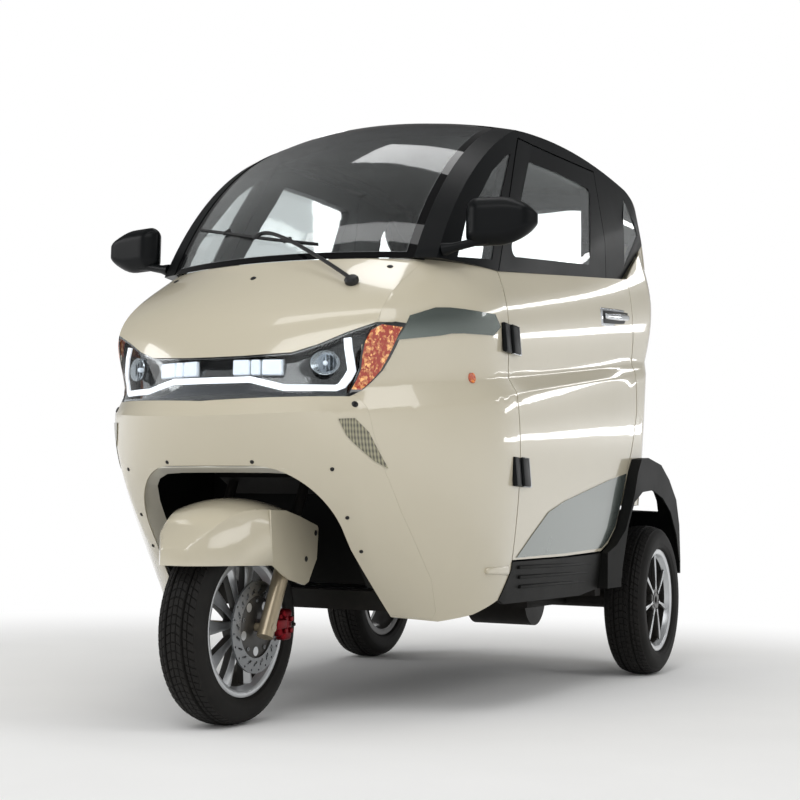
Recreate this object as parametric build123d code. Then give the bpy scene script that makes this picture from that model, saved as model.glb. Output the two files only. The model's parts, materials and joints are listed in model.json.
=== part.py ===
from build123d import *
import math
import os

# Enclosed electric tricycle: a two-row cabin on one steered front wheel and two driven rear wheels.
# Millimetres. The front of the vehicle faces -Y, +X is its left side, the ground is Z = 0.
# Every place along the vehicle is written as a distance behind the front axle.
# The finished pieces are moved together at the end, so that Y = 0 is the middle of the length.

os.makedirs("parts", exist_ok=True)

# Running gear
WHEELBASE = 1740.0
REAR_TRACK = 1030.0
FRONT_TYRE_R = 236.0
FRONT_TYRE_W = 120.0
REAR_TYRE_R = 247.0
REAR_TYRE_W = 135.0
RIM_R = 165.0                # outside of the rim flange, 12 inch wheels
BEAD_SHARE = 0.72            # distance between the beads as a share of the tyre's width
TYRE_CLEAR = 0.3             # gap between bead and rim seat
AXLE_R = 10.0
BEARING = 0.05               # radial running clearance
RAKE = 25.0                  # steering axis from the vertical, degrees
YOKE_OFFSET = 35.0           # fork legs ahead of the steering axis
FORK_SPREAD = 106.0          # centre of the fork legs from the middle
FORK_LEG_R = 20.0
FORK_TUBE_R = 13.0
LEG_TOP_Z = 470.0
YOKE_Z = 585.0
HEAD_LOW_Z = 650.0
HEAD_HIGH_Z = 800.0
HEAD_R = 34.0
STEM_R = 15.0
BAR_Z = 1030.0
BAR_R = 12.0
DISC_R = 110.0
DISC_X = 76.0
DISC_T = 5.0

# Front fender
FENDER_R = 308.0             # crown above the front axle
FENDER_CROWN = 30.0          # fall of the crown towards its sides
FENDER_FRONT = 245.0         # ahead of the front axle
FENDER_X = 132.0             # half width at the fork legs
FENDER_T = 4.0

# Bodywork
SKIN = 4.0                   # moulded body panels
GLASS = 4.0
GLASS_SET = 2.0              # glass below the face of its frame
ROOF_SKIN = 6.0
DOOR_DEPTH = 42.0            # outer skin to inner trim
FRAME_DEPTH = 34.0           # cab pillars and rails
LAMP_DEPTH = 40.0            # face of the headlamp to the back of its housing
LAMP_WALL = 5.0
SEAM = 0.4                   # between fixed panels
DOOR_GAP = 5.0               # around a door
DOOR_FRONT = 545.0           # front edge of the doors
HOOD_X = 377.0               # side edge of the bonnet
BELT_Z = 1166.0              # foot of the side glass at the door's front edge
BELT_RISE = 0.14
TAIL_X = 330.0               # side edge of the rear panel and window
BUMPER_REAR = 2055.0         # back face of the rear bumper

# Chassis and cabin
RAIL_X = 235.0
RAIL_Z = 262.0               # underside of the rails
RAIL_H = 50.0
RAIL_W = 40.0
FRONT_CROSS_Y = 380.0
PAD = 28.0                   # half width of a jacking pad
PAD_T = 6.0
PAD_YS = (500.0, 1240.0)
KICK_Y = 1450.0              # where the rails step up over the rear axle
KICK_Z = 400.0
PAN = 4.0
SEAT_Z = 560.0               # top of the seat bases
CUSHION = 90.0
SEAT_FRONT = 770.0
SEAT_DEPTH = 440.0
SEAT_HALF = 225.0
BENCH_FRONT = 1390.0
BENCH_DEPTH = 340.0
BENCH_HALF = 380.0

FAR = 1400.0
LONG = 2.0 * FAR
parts = {}


# Outline of the body in a plane that climbs towards the tail.
# nose: middle of the front face; corner_x, corner_y: front corner; side: half width at the shoulder;
# quarter: half width at the tail; bend: where the tail starts to turn in; tail: middle of the rear face;
# shoulder: where the front corner's cheek has run out into the straight side
def body_wire(z, rise, nose, corner_x, corner_y, side, quarter, bend, tail, shoulder, inset=0.0):
    nose = nose + inset
    corner_x = corner_x - 0.6 * inset
    corner_y = corner_y + 0.7 * inset
    side = side - inset
    quarter = quarter - inset
    tail = tail - inset

    def at(x, y):
        return Vector(x, y, z + rise * y)

    run = shoulder - corner_y
    cheek_r = ((side - corner_x) ** 2 + run ** 2) / (2.0 * (side - corner_x))
    half = math.asin(run / cheek_r) / 2.0
    cheek_x = side - cheek_r * (1.0 - math.cos(half))
    cheek_y = shoulder - cheek_r * math.sin(half)
    turn = tail - bend
    corner_in = quarter - turn
    mid = turn * (1.0 - math.sqrt(0.5))
    edges = [
        Edge.make_three_point_arc(at(-corner_x, corner_y), at(0, nose), at(corner_x, corner_y)),
        Edge.make_three_point_arc(at(corner_x, corner_y), at(cheek_x, cheek_y), at(side, shoulder)),
        Edge.make_line(at(side, shoulder), at(quarter, bend)),
        Edge.make_three_point_arc(at(quarter, bend), at(quarter - mid, tail - mid), at(corner_in, tail)),
        Edge.make_line(at(corner_in, tail), at(-corner_in, tail)),
        Edge.make_three_point_arc(at(-corner_in, tail), at(mid - quarter, tail - mid), at(-quarter, bend)),
        Edge.make_line(at(-quarter, bend), at(-side, shoulder)),
        Edge.make_three_point_arc(at(-side, shoulder), at(-cheek_x, cheek_y), at(-corner_x, corner_y)),
    ]
    return Wire(edges)


# columns: z and rise of the plane, nose, corner_x, corner_y, side, quarter, bend, tail, shoulder
LOWER_ROWS = [
    (200.0, 0.0, 240.0, 302.0, 290.0, 488.0, 500.0, 1560.0, 1740.0, 540.0),
    (380.0, 0.0, 60.0, 314.0, 135.0, 513.0, 525.0, 1570.0, 1750.0, 540.0),
    (560.0, 0.05, -80.0, 328.0, 15.0, 533.0, 540.0, 1600.0, 1790.0, 540.0),
    (757.0, 0.145, -176.0, 350.0, -20.0, 524.0, 530.0, 1695.0, 1888.0, 540.0),
]
UPPER_ROWS = [
    (797.0, 0.145, -150.0, 326.0, -18.0, 500.0, 514.0, 1735.0, 1918.0, 540.0),
    (870.0, 0.145, -113.0, 346.0, -4.0, 499.0, 517.0, 1775.0, 1955.0, 540.0),
    (955.0, 0.145, -66.0, 373.0, 15.0, 497.0, 518.0, 1800.0, 1982.0, 540.0),
    (1084.0, 0.145, 80.0, 367.0, 185.0, 465.0, 505.0, 1790.0, 1975.0, 540.0),
    (1190.0, 0.145, 195.0, 360.0, 325.0, 436.0, 488.0, 1750.0, 1940.0, 540.0),
]
CAB_ROWS = [
    (1000.0, 0.145, -150.0, 370.0, 60.0, 478.0, 510.0, 1790.0, 1978.0, 570.0),
    (1180.0, 0.145, -150.0, 380.0, 190.0, 458.0, 494.0, 1780.0, 1970.0, 655.0),
    (1330.0, 0.145, -150.0, 388.0, 300.0, 440.0, 474.0, 1750.0, 1940.0, 785.0),
    (1480.0, 0.145, -150.0, 392.0, 420.0, 422.0, 452.0, 1720.0, 1912.0, 900.0),
    (1720.0, 0.145, -150.0, 388.0, 520.0, 402.0, 426.0, 1670.0, 1870.0, 950.0),
]
# Side view of the cab at the middle and at a wide station beyond its sides, as y, z pairs:
# foot, middle and head of the screen, crown and end of the roof, bulge and foot of the tail
CAB_WIDE_X = 480.0
CAB_MIDDLE = [(147, 1150), (393, 1462), (700, 1656), (1180, 1712), (1720, 1690), (1908, 1555), (1985, 1250)]
CAB_WIDE = [(302, 1159), (473, 1380), (808, 1607), (1200, 1650), (1690, 1635), (1885, 1515), (1972, 1250)]
CAB_FLOOR_Z = 1000.0
CAB_MIDDLE_Y = 1100.0
CAB_MIDDLE_Z = 1150.0
CAB_INSET_SHARE = 1.15       # the side view shrinks towards one point, a little more than the inset


def body_loft(rows, inset=0.0, ruled=False):
    return Solid.make_loft([body_wire(*row, inset=inset) for row in rows], ruled)


# The closed body form, smaller by the inset: lower body, the chamfer of its shoulder, upper body
def body_form(inset=0.0):
    shoulder = [LOWER_ROWS[-1], UPPER_ROWS[0]]
    form = Part() + body_loft(LOWER_ROWS, inset)
    form += body_loft(shoulder, inset, True)
    return form + body_loft(UPPER_ROWS, inset)


def cab_wire(x, points, inset):
    moved = []
    for y, z in points:
        reach = math.hypot(y - CAB_MIDDLE_Y, z - CAB_MIDDLE_Z)
        scale = 1.0 - CAB_INSET_SHARE * inset / reach
        moved.append(Vector(x, CAB_MIDDLE_Y + (y - CAB_MIDDLE_Y) * scale, CAB_MIDDLE_Z + (z - CAB_MIDDLE_Z) * scale))
    foot, screen, head, crown, end, bulge, tail = moved
    low_tail = Vector(x, tail.Y, CAB_FLOOR_Z)
    low_foot = Vector(x, foot.Y, CAB_FLOOR_Z)
    return Wire([
        Edge.make_three_point_arc(foot, screen, head),
        Edge.make_three_point_arc(head, crown, end),
        Edge.make_three_point_arc(end, bulge, tail),
        Edge.make_line(tail, low_tail),
        Edge.make_line(low_tail, low_foot),
        Edge.make_line(low_foot, foot),
    ])


# The closed form of the glazed cab, smaller by the inset
def cab_form(inset=0.0):
    profile = Solid.make_loft([
        cab_wire(-CAB_WIDE_X, CAB_WIDE, inset),
        cab_wire(0, CAB_MIDDLE, inset),
        cab_wire(CAB_WIDE_X, CAB_WIDE, inset),
    ], False)
    return profile & body_loft(CAB_ROWS, inset)


# A prism on an outline given as points; grow moves its sides outwards, soften rounds named corners
def prism(points, run, grow=0.0, soften=0.0, corners=()):
    face = Face(Wire.make_polygon(points))
    if soften:
        chosen = [v for v in face.vertices() for c in corners if (Vector(v.X, v.Y, v.Z) - points[c]).length < 1.0]
        face = face.fillet_2d(soften, chosen)
    if grow:
        face = offset(face, amount=grow).face()
    return Solid.extrude(face, run)


# Prisms on an outline seen from the side (y, z), from the front (x, z) and from above (x, y)
def side_block(points, x_low=-FAR, x_high=FAR, grow=0.0, soften=0.0, corners=()):
    start = [Vector(x_low, y, z) for y, z in points]
    return prism(start, Vector(x_high - x_low, 0, 0), grow, soften, corners)


def front_block(points, y_low=-FAR, y_high=LONG, grow=0.0, soften=0.0, corners=()):
    start = [Vector(x, y_low, z) for x, z in points]
    return prism(start, Vector(0, y_high - y_low, 0), grow, soften, corners)


def plan_block(points, z_low=0.0, z_high=2000.0, grow=0.0, soften=0.0, corners=()):
    start = [Vector(x, y, z_low) for x, y in points]
    return prism(start, Vector(0, 0, z_high - z_low), grow, soften, corners)


def mirrored(points):
    return points + [(-a, b) for a, b in reversed(points) if abs(a) > 0.01]


def box_at(x0, x1, y0, y1, z0, z1):
    x0, x1 = min(x0, x1), max(x0, x1)
    return Pos((x0 + x1) / 2, (y0 + y1) / 2, (z0 + z1) / 2) * Box(x1 - x0, y1 - y0, z1 - z0)


def rod(a, b, r):
    a, b = Vector(*a), Vector(*b)
    return Solid.make_cylinder(r, (b - a).length, Plane(origin=a, z_dir=b - a))


# A cylinder along X
def disc_x(r, x0, x1, y, z):
    return Pos(x0, y, z) * Rot(0, 90, 0) * Cylinder(r, x1 - x0, align=(Align.CENTER, Align.CENTER, Align.MIN))


def mirror_x(shape):
    return mirror(shape, about=Plane.YZ)


def both(shape):
    return Compound(children=[*shape.solids(), *mirror_x(shape).solids()])


# Drops slivers that a cut leaves beside a panel
def main_solids(shape, least=20000.0):
    return Compound(children=[s for s in shape.solids() if s.volume > least])


def keep(name, shape):
    parts[name] = shape


def pair(name, left):
    keep(name + "_left", left)
    keep(name + "_right", mirror_x(left))


def belt_z(y):
    return BELT_Z + BELT_RISE * (y - DOOR_FRONT)


body_outer = body_form()
body_inner = body_form(SKIN)
cab_outer = cab_form()
cab_inner = cab_form(FRAME_DEPTH)
glass_outer = cab_form(GLASS_SET)
glass_inner = cab_form(GLASS_SET + GLASS)
clear_outer = body_form(-SEAM)


# A panel of the body's skin inside a zone
def panel(zone):
    return (body_outer & zone) - body_inner


def pane(zone):
    return (glass_outer & zone) - glass_inner


# Wheels: tyre and cast rim by revolving, spokes in a polar pattern
FRONT_Z = FRONT_TYRE_R
REAR_Z = REAR_TYRE_R
REAR_X = REAR_TRACK / 2
SEAT_R = RIM_R - 6.0         # bead seat of the rim
BARREL = 22.0                # depth of the rim's barrel below its flange


def spun(points, y, z):
    wire = Wire.make_polygon([Vector(x, 0, r) for x, r in points])
    return Pos(0, y, z) * Solid.revolve(Face(wire), 360, Axis.X)


def tyre(radius, width, x, y):
    half = width / 2
    bead = half * BEAD_SHARE
    inner = half * 0.5
    outside = [
        (bead, SEAT_R), (bead, RIM_R + 4.5), (half * 0.9, RIM_R + 8), (half, RIM_R + 26), (half, radius - 34),
        (half * 0.78, radius - 9), (half * 0.35, radius),
    ]
    inside = [(inner, radius - 22), (inner, SEAT_R)]
    left = [(-a, r) for a, r in outside]
    left_in = [(-a, r) for a, r in inside]
    return Pos(x, 0, 0) * spun(left + outside[::-1] + inside[::-1] + left_in, y, radius)


def rim_barrel(width, x, y, radius):
    half = width / 2 * BEAD_SHARE
    seat = SEAT_R - TYRE_CLEAR
    lip = half + 6
    low = RIM_R - BARREL
    points = [
        (-lip, low), (-lip, RIM_R + 4), (-half - TYRE_CLEAR, RIM_R + 4), (-half - TYRE_CLEAR, seat),
        (half + TYRE_CLEAR, seat), (half + TYRE_CLEAR, RIM_R + 4), (lip, RIM_R + 4), (lip, low),
        (half - 12, low - 2), (-half + 12, low - 2),
    ]
    return Pos(x, 0, 0) * spun(points, y, radius)


# face_x: outer face of the hub from the wheel's middle; hub_d: depth of the hub; twin: gap in a paired spoke
def cast_rim(width, x, y, radius, spokes, root_w, tip_w, face_x, hub_d, hub_r):
    rim = Part() + rim_barrel(width, x, y, radius)
    rim += disc_x(hub_r, x + face_x - hub_d, x + face_x, y, radius)
    low = hub_r - 8
    high = RIM_R - BARREL + 4
    blade = side_block([(-root_w / 2, low), (root_w / 2, low), (tip_w / 2, high), (-tip_w / 2, high)],
                       x + face_x - hub_d + 4, x + face_x - 4)
    for i in range(spokes):
        rim += Pos(0, y, radius) * Rot(360.0 * i / spokes, 0, 0) * blade
    return rim - disc_x(AXLE_R + BEARING, x - FAR / 10, x + FAR / 10, y, radius)


keep("front_tyre", tyre(FRONT_TYRE_R, FRONT_TYRE_W, 0, 0))
keep("front_rim", cast_rim(FRONT_TYRE_W, 0, 0, FRONT_Z, 10, 18, 22, 30, 24, 44))
pair("rear_tyre", tyre(REAR_TYRE_R, REAR_TYRE_W, REAR_X, WHEELBASE))
pair("rear_rim", cast_rim(REAR_TYRE_W, REAR_X, WHEELBASE, REAR_Z, 7, 26, 52, 46, 30, 42))

disc_low, disc_high = DISC_X - DISC_T / 2, DISC_X + DISC_T / 2
disc = disc_x(DISC_R, disc_low, disc_high, 0, FRONT_Z) - disc_x(DISC_R - 36, 0, FAR, 0, FRONT_Z)
disc += disc_x(DISC_R - 34, disc_low - 3, disc_high - 2, 0, FRONT_Z)
disc += disc_x(38, 30.4, DISC_X, 0, FRONT_Z)
keep("front_disc", disc - disc_x(AXLE_R + BEARING, 0, FAR, 0, FRONT_Z))

# Steering: fork legs, yoke, stem and handlebar along the raked axis
RAKE_RAD = math.radians(RAKE)
RAKE_DIR = Vector(0, math.sin(RAKE_RAD), math.cos(RAKE_RAD))
STEER_FOOT = Vector(0, YOKE_OFFSET / math.cos(RAKE_RAD), FRONT_Z)


def on_steer(z):
    return STEER_FOOT + RAKE_DIR * ((z - FRONT_Z) / RAKE_DIR.Z)


def on_leg(z, side):
    return Vector(side * FORK_SPREAD, 0, FRONT_Z) + RAKE_DIR * ((z - FRONT_Z) / RAKE_DIR.Z)


fork = Part()
bar_middle = on_steer(BAR_Z)
for side in (-1, 1):
    fork += rod(on_leg(FRONT_Z - 22, side), on_leg(LEG_TOP_Z, side), FORK_LEG_R)
    fork += rod(on_leg(LEG_TOP_Z - 10, side), on_leg(YOKE_Z + 20, side), FORK_TUBE_R)
    knee = bar_middle + Vector(side * 150, 10, 30)
    grip = knee + Vector(side * 175, 95, -10)
    fork += rod(bar_middle, knee, BAR_R)
    fork += Pos(knee) * Sphere(BAR_R)
    fork += rod(knee, grip, BAR_R)
    fork += rod(knee + (grip - knee) * 0.3, grip, BAR_R + 5)
yoke = box_at(-FORK_SPREAD - 28, FORK_SPREAD + 28, -YOKE_OFFSET - 27, 30, -14, 14)
fork += Pos(on_steer(YOKE_Z)) * Rot(-RAKE, 0, 0) * yoke
fork += rod(on_steer(YOKE_Z), bar_middle, STEM_R)
fork += rod(on_steer(HEAD_HIGH_Z + 3), on_steer(HEAD_HIGH_Z + 23), HEAD_R)
fork += Pos(bar_middle) * Sphere(24)
fork += disc_x(AXLE_R, -FORK_SPREAD - FORK_LEG_R, FORK_SPREAD + FORK_LEG_R, 0, FRONT_Z)
keep("fork", fork)


# Front fender: a crowned shell, narrow ahead of the tyre and wide at the fork legs, with a lobe over each leg
def fender_form(inset, rear):
    side, top, low = FENDER_X, FENDER_R - inset, 100.0
    edge = top - FENDER_CROWN
    profile = Wire([
        Edge.make_line((-side, 0, low), (-side, 0, edge)),
        Edge.make_three_point_arc((-side, 0, edge), (0, 0, top), (side, 0, edge)),
        Edge.make_line((side, 0, edge), (side, 0, low)),
        Edge.make_line((side, 0, low), (-side, 0, low)),
    ])
    drum = Pos(0, 0, FRONT_Z) * Solid.revolve(Face(profile), 360, Axis.X)
    plan = [(34, -FENDER_FRONT), (66, -205), (90, -125), (side, -20), (side, rear)]
    return drum & plan_block(mirrored([(x - inset, y + (inset if y < -200 else 0)) for x, y in plan]), 100, 700)


LOBE = [(-23, 384), (16, 364), (54, 348), (127, 333), (149, 341), (165, 366), (187, 397), (192, 478), (96, 502),
        (30, 515), (-40, 515)]
rear_edge = 92.0
fender = fender_form(0, rear_edge) & box_at(-FAR, FAR, -FAR, FAR, 384, 700)
fender -= fender_form(FENDER_T, FAR)
lobe = side_block(LOBE, FENDER_X - FENDER_T, FENDER_X, 0, 12, (3, 5, 7))
for z in (365, 440):
    leg_y = on_leg(z, 1).Y
    lobe += disc_x(11, FORK_SPREAD + 4, FENDER_X - 1, leg_y, z)
lobe -= rod(on_leg(FRONT_Z, 1), on_leg(LEG_TOP_Z + 5, 1), FORK_LEG_R + SEAM)
keep("front_fender", fender + lobe + mirror_x(lobe))

caliper = box_at(DISC_X - 14.5, DISC_X + 22, 76, 138, 196, 276)
caliper -= box_at(DISC_X - 5, DISC_X + 5, 40, DISC_R + 8, 180, 300)
caliper += box_at(DISC_X + 12, FORK_SPREAD + 8, 20.5, 90, 226, 256)
caliper -= rod(on_leg(FRONT_Z - 40, 1), on_leg(LEG_TOP_Z, 1), FORK_LEG_R + TYRE_CLEAR)
keep("brake_caliper", caliper)

# Chassis: two rails that step up over the rear axle, cross members, steering head with its braces
rail_in, rail_out = RAIL_X - RAIL_W / 2, RAIL_X + RAIL_W / 2
chassis = Part()
for side in (-1, 1):
    foot = (side * RAIL_X, FRONT_CROSS_Y + 6, RAIL_Z + RAIL_H / 2)
    crest = (side * 120, FRONT_CROSS_Y + 12, 700)
    chassis += box_at(side * rail_in, side * rail_out, FRONT_CROSS_Y - 20, KICK_Y, RAIL_Z, RAIL_Z + RAIL_H)
    chassis += box_at(side * rail_in, side * rail_out, KICK_Y - RAIL_W, KICK_Y, RAIL_Z, KICK_Z + RAIL_H)
    chassis += box_at(side * rail_in, side * rail_out, KICK_Y - RAIL_W, 1965, KICK_Z, KICK_Z + RAIL_H)
    chassis += rod(foot, crest, 17)
    chassis += Pos(*crest) * Sphere(17)
    chassis += rod(crest, (side * 12, on_steer(725).Y + 12, 725), 17)
    chassis += box_at(side * RAIL_X, side * 430, FRONT_CROSS_Y - 18, FRONT_CROSS_Y + 20, RAIL_Z + 10, RAIL_Z + RAIL_H)
    chassis += box_at(side * RAIL_X, side * 480, KICK_Y - 110, KICK_Y - 60, RAIL_Z + 10, RAIL_Z + RAIL_H)
    chassis += box_at(side * RAIL_X, side * 350, WHEELBASE, WHEELBASE + 40, KICK_Z, KICK_Z + RAIL_H)
for y, z in ((FRONT_CROSS_Y, RAIL_Z), (700, RAIL_Z), (1060, RAIL_Z), (KICK_Y - 20, KICK_Z), (WHEELBASE, KICK_Z),
             (1945, KICK_Z)):
    chassis += box_at(-RAIL_X, RAIL_X, y - 20, y + 20, z, z + RAIL_H)
chassis += box_at(-395, 395, 1925, 1965, KICK_Z, KICK_Z + RAIL_H)
chassis += rod(on_steer(HEAD_LOW_Z), on_steer(HEAD_HIGH_Z), HEAD_R)
chassis -= rod(on_steer(HEAD_LOW_Z - 5), on_steer(HEAD_HIGH_Z + 5), STEM_R + BEARING)
for y in PAD_YS:
    for side in (-1, 1):
        chassis += box_at(side * RAIL_X - PAD, side * RAIL_X + PAD, y - PAD, y + PAD, RAIL_Z - PAD_T, RAIL_Z + 2)
keep("chassis_frame", chassis)

floor_z = RAIL_Z + RAIL_H + SEAM
rear_floor = KICK_Z + RAIL_H + SEAM
step_y = KICK_Y - RAIL_W - SEAM
floor = box_at(-470, 470, FRONT_CROSS_Y + 32, step_y, floor_z, floor_z + PAN)
floor += box_at(-470, 470, step_y - PAN, step_y, floor_z, rear_floor + PAN)
floor += box_at(-395, 395, step_y - PAN, WHEELBASE + 20, rear_floor, rear_floor + PAN)
keep("floor_pan", floor & body_form(SKIN + 1))

keep("battery_block", box_at(-200, 200, 800, 1180, floor_z + PAN + SEAM, floor_z + 230))

# Closed tubs over the three wheels
TUB_X = 504.6
TUB_FRONT = 1432.0
LINER_TOP = 684.0
liner = box_at(-300, 300, -60, 350, 330, LINER_TOP) - box_at(-285, 285, -400, 346, 0, LINER_TOP - PAN)
liner -= plan_block([(-60, 200), (60, 200), (60, 346), (-60, 346)])
tub = box_at(400, TUB_X, TUB_FRONT, 1990, 300, 545) - box_at(404, 700, TUB_FRONT + PAN, 1986, 0, 541)
tubs = [*(liner & body_form(SKIN + 1)).solids(), *both(tub).solids()]
keep("wheel_housings", Compound(children=tubs))

# Headlamp across the nose: clear cover, housing with its walls, light guide and turn lamps inside
LAMP = [(0, 768), (328, 783), (409, 968), (377, 962), (312, 934), (255, 905), (198, 885), (80, 878), (0, 877)]
LAMP_REACH = 250.0
lamp_points = mirrored(LAMP)


def lamp_block(grow=0.0):
    return front_block(lamp_points, -400, LAMP_REACH, grow)


lamp_hole = lamp_block(SEAM)
lamp_room = lamp_block(-LAMP_WALL)
lamp_back = body_form(LAMP_DEPTH - LAMP_WALL)
keep("headlamp_lens", panel(lamp_block()))
housing = (body_form(SKIN + SEAM) & lamp_block()) - body_form(LAMP_DEPTH)
keep("headlamp_housing", housing - ((body_form(SKIN) & lamp_room) - lamp_back))


# A band of even width along a line seen from the front
def front_band(points, width, y_low, y_high):
    band = Part()
    for (xa, za), (xb, zb) in zip(points, points[1:]):
        run = math.hypot(xb - xa, zb - za)
        dx, dz = -(zb - za) / run * width / 2, (xb - xa) / run * width / 2
        band += front_block([(xa + dx, za + dz), (xb + dx, zb + dz), (xb - dx, zb - dz), (xa - dx, za - dz)], y_low, y_high)
        band += rod((xb, y_low, zb), (xb, y_high, zb), width / 2)
    return band


GUIDE = [(-1, 819), (108, 820), (192, 800), (303, 803), (325, 845), (318, 896)]
LAMP_AIR = 4.0               # inside pieces stay this far off the cover and the back
guide = front_band(GUIDE, 13, -400, LAMP_REACH) & box_at(0, FAR, -FAR, FAR, 0, 2000)
inside = (body_form(SKIN + LAMP_AIR) & lamp_block(-LAMP_WALL - SEAM)) - body_form(LAMP_DEPTH - LAMP_WALL - SEAM)
guide = guide & inside
keep("light_strip", guide + mirror_x(guide))
TURN = [(340, 800), (395, 880), (402, 958), (378, 952), (345, 930), (350, 900), (352, 845)]
keep("turn_lamps", both((inside & front_block(TURN, -400, LAMP_REACH)) - body_form(SKIN + 14)))

# Body panels: pieces of the skin between the seams
ARCH = [(-325, 200), (-283, 423), (-270, 617), (270, 617), (283, 423), (325, 200)]
ARCH_ROUND = 160.0
arch_block = front_block(ARCH, -400, 345, 0, ARCH_ROUND, (2, 3))
FRONT_SEAM = [(-400, 786), (-8, 786), (19, 694), (63, 606), (123, 519), (209, 412), (259, 351), (304, 271),
              (306, 251), (220, 266), (150, 272), (-400, 272)]
fascia_zone = (side_block(FRONT_SEAM) - arch_block) - lamp_hole
keep("front_fascia", main_solids(panel(fascia_zone)))

HOOD_LOW_Z = 850.0
HOOD = [(-HOOD_X, HOOD_LOW_Z), (HOOD_X, HOOD_LOW_Z), (HOOD_X, 1300), (-HOOD_X, 1300)]
SCREEN_FOOT = [(-400, 1100), (147, 1150 - SEAM), (236, 1155 - SEAM), (300, 1150), (300, 600), (-400, 600)]
bonnet_zone = (front_block(HOOD, -400, 300) & side_block(SCREEN_FOOT)) - lamp_hole
keep("bonnet", main_solids(panel(bonnet_zone)))

gap = DOOR_GAP / 2
PANEL_SIDE = [(-200, 1155), (236, 1155 - SEAM), (DOOR_FRONT - gap, BELT_Z - SEAM), (DOOR_FRONT - gap, 372), (489, 296),
              (400, 262), (320, 246), (250, 256), (150, 272), (-200, 272)]
panel_zone = side_block(PANEL_SIDE, 100, FAR) - side_block(FRONT_SEAM, -FAR, FAR, SEAM)
panel_zone -= front_block(HOOD, -400, 300, SEAM)
panel_zone -= lamp_hole
keep("front_side_panels", both(main_solids(panel(panel_zone - arch_block))))

# Doors: lower slab, silver lower panel, window frame, glass and fittings, all between the same outlines
DOOR_REAR = [(1597, 0), (1620, 1110), (1590, 868), (1526, 742), (1478, 665), (1415, 542), (1382, 485), (1320, 438),
             (1259, 414), (929, 403)]
SILL_Z = 398.0
rear_line = [(y - gap, z) for y, z in DOOR_REAR[1:]]
door_low = [(DOOR_FRONT + gap, SILL_Z), (DOOR_FRONT + gap, belt_z(DOOR_FRONT)), (1597, belt_z(1597))] + rear_line
DOOR_HEAD = [(798, 1596), (1055, 1612), (1400, 1636)]
FRAME_REAR = 1432.0
door_high = [(DOOR_FRONT + gap, belt_z(DOOR_FRONT)), *DOOR_HEAD, (FRAME_REAR, belt_z(FRAME_REAR))]
WINDOW = [(631, 1222), (862, 1545), (1080, 1560), (1345, 1568), (1262, 1306)]
keep_door = (body_outer & side_block(door_low, 100, FAR)) - body_form(DOOR_DEPTH)
pair("door", keep_door)
under_belt = [(0, belt_z(0) + SEAM), (2000, belt_z(2000) + SEAM), (2000, 0), (0, 0)]
frame_zone = side_block(door_high, 100, FAR) - side_block(under_belt, 0, FAR)
frame_zone -= side_block(WINDOW, 0, FAR, 0, 20, (0, 1, 3, 4))
pair("door_frame", (cab_outer & frame_zone) - cab_inner)
pair("door_glass", pane(side_block(WINDOW, 100, FAR, -SEAM, 20, (0, 1, 3, 4))))

ACCENT_T = 2.4
ACCENT = [(562, 402), (664, 466), (772, 528), (900, 562), (1121, 603), (1300, 636), (1470, 662), (1408, 545),
          (1374, 489), (1312, 444), (1254, 421), (929, 409)]
pair("door_accent", (body_form(-ACCENT_T) & side_block(ACCENT, 200, FAR, -2)) - clear_outer)
BLADE = [(30, 908), (48, 966), (200, 1019), (335, 1036), (345, 1006), (330, 978), (210, 950), (80, 926)]
keep("accent_blades", both((body_form(-ACCENT_T) & side_block(BLADE, 200, FAR)) - clear_outer))

# Cab frame: the cab's shell less the screen, the doors, the roof panel and the other windows
FRONT_QUARTER = [(345, 1171), (409, 1277), (591, 1453), (705, 1528), (728, 1534), (636, 1404), (515, 1192)]
REAR_QUARTER = [(1665, 1605), (1785, 1500), (1635, 1363), (1625, 1532)]
SCREEN_X = 364.0
SCREEN_TOP = [(800, 1560), (716, 1700)]
ROOF_X = 375.0
ROOF_FRONT = 800.0
ROOF_REAR = 1750.0
TAIL_LOW_Z = 1330.0
TAIL_HIGH_Z = 1620.0
CORNER = [(1600, belt_z(1600)), (1860, 1490), (2100, 1500)]
belt_cut = side_block([(0, 1149), (236, 1155), (DOOR_FRONT, BELT_Z), *CORNER, (2100, 0), (0, 0)])


def screen_zone(grow):
    top = [(y - grow, z) for y, z in SCREEN_TOP]
    line = [(0, 1149 + grow), (236, 1155 + grow), (800, 1155 + grow), *top, (0, 1700)]
    return side_block(line, -SCREEN_X + grow, SCREEN_X - grow)


def roof_zone(grow):
    return box_at(-ROOF_X + grow, ROOF_X - grow, ROOF_FRONT + grow, ROOF_REAR - grow, 1500, 1800)


def tail_zone(grow):
    return box_at(-TAIL_X + grow, TAIL_X - grow, 1780, 2100, TAIL_LOW_Z + grow, TAIL_HIGH_Z - grow)


door_cut = [(DOOR_FRONT - gap, 1100), (DOOR_FRONT - gap, belt_z(DOOR_FRONT)), (793, 1601), (1055, 1617), (1403, 1641),
            (FRAME_REAR + DOOR_GAP, 1270), (FRAME_REAR + DOOR_GAP, 1100)]
frame = cab_outer - belt_cut - screen_zone(0) - roof_zone(0) - tail_zone(0)
openings = side_block(door_cut, 100, FAR)
for zone in (FRONT_QUARTER, REAR_QUARTER):
    openings += side_block(zone, 100, FAR)
frame -= openings
frame -= mirror_x(openings)
keep("cab_frame", main_solids(frame - cab_inner))

quarters = []
for zone in (FRONT_QUARTER, REAR_QUARTER):
    quarters += both(pane(side_block(zone, 100, FAR, -SEAM))).solids()
keep("quarter_glass", Compound(children=quarters))
keep("windshield", pane(screen_zone(SEAM)))
keep("roof_panel", (cab_outer & roof_zone(SEAM)) - cab_form(ROOF_SKIN))
keep("rear_window", pane(tail_zone(SEAM)))

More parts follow.
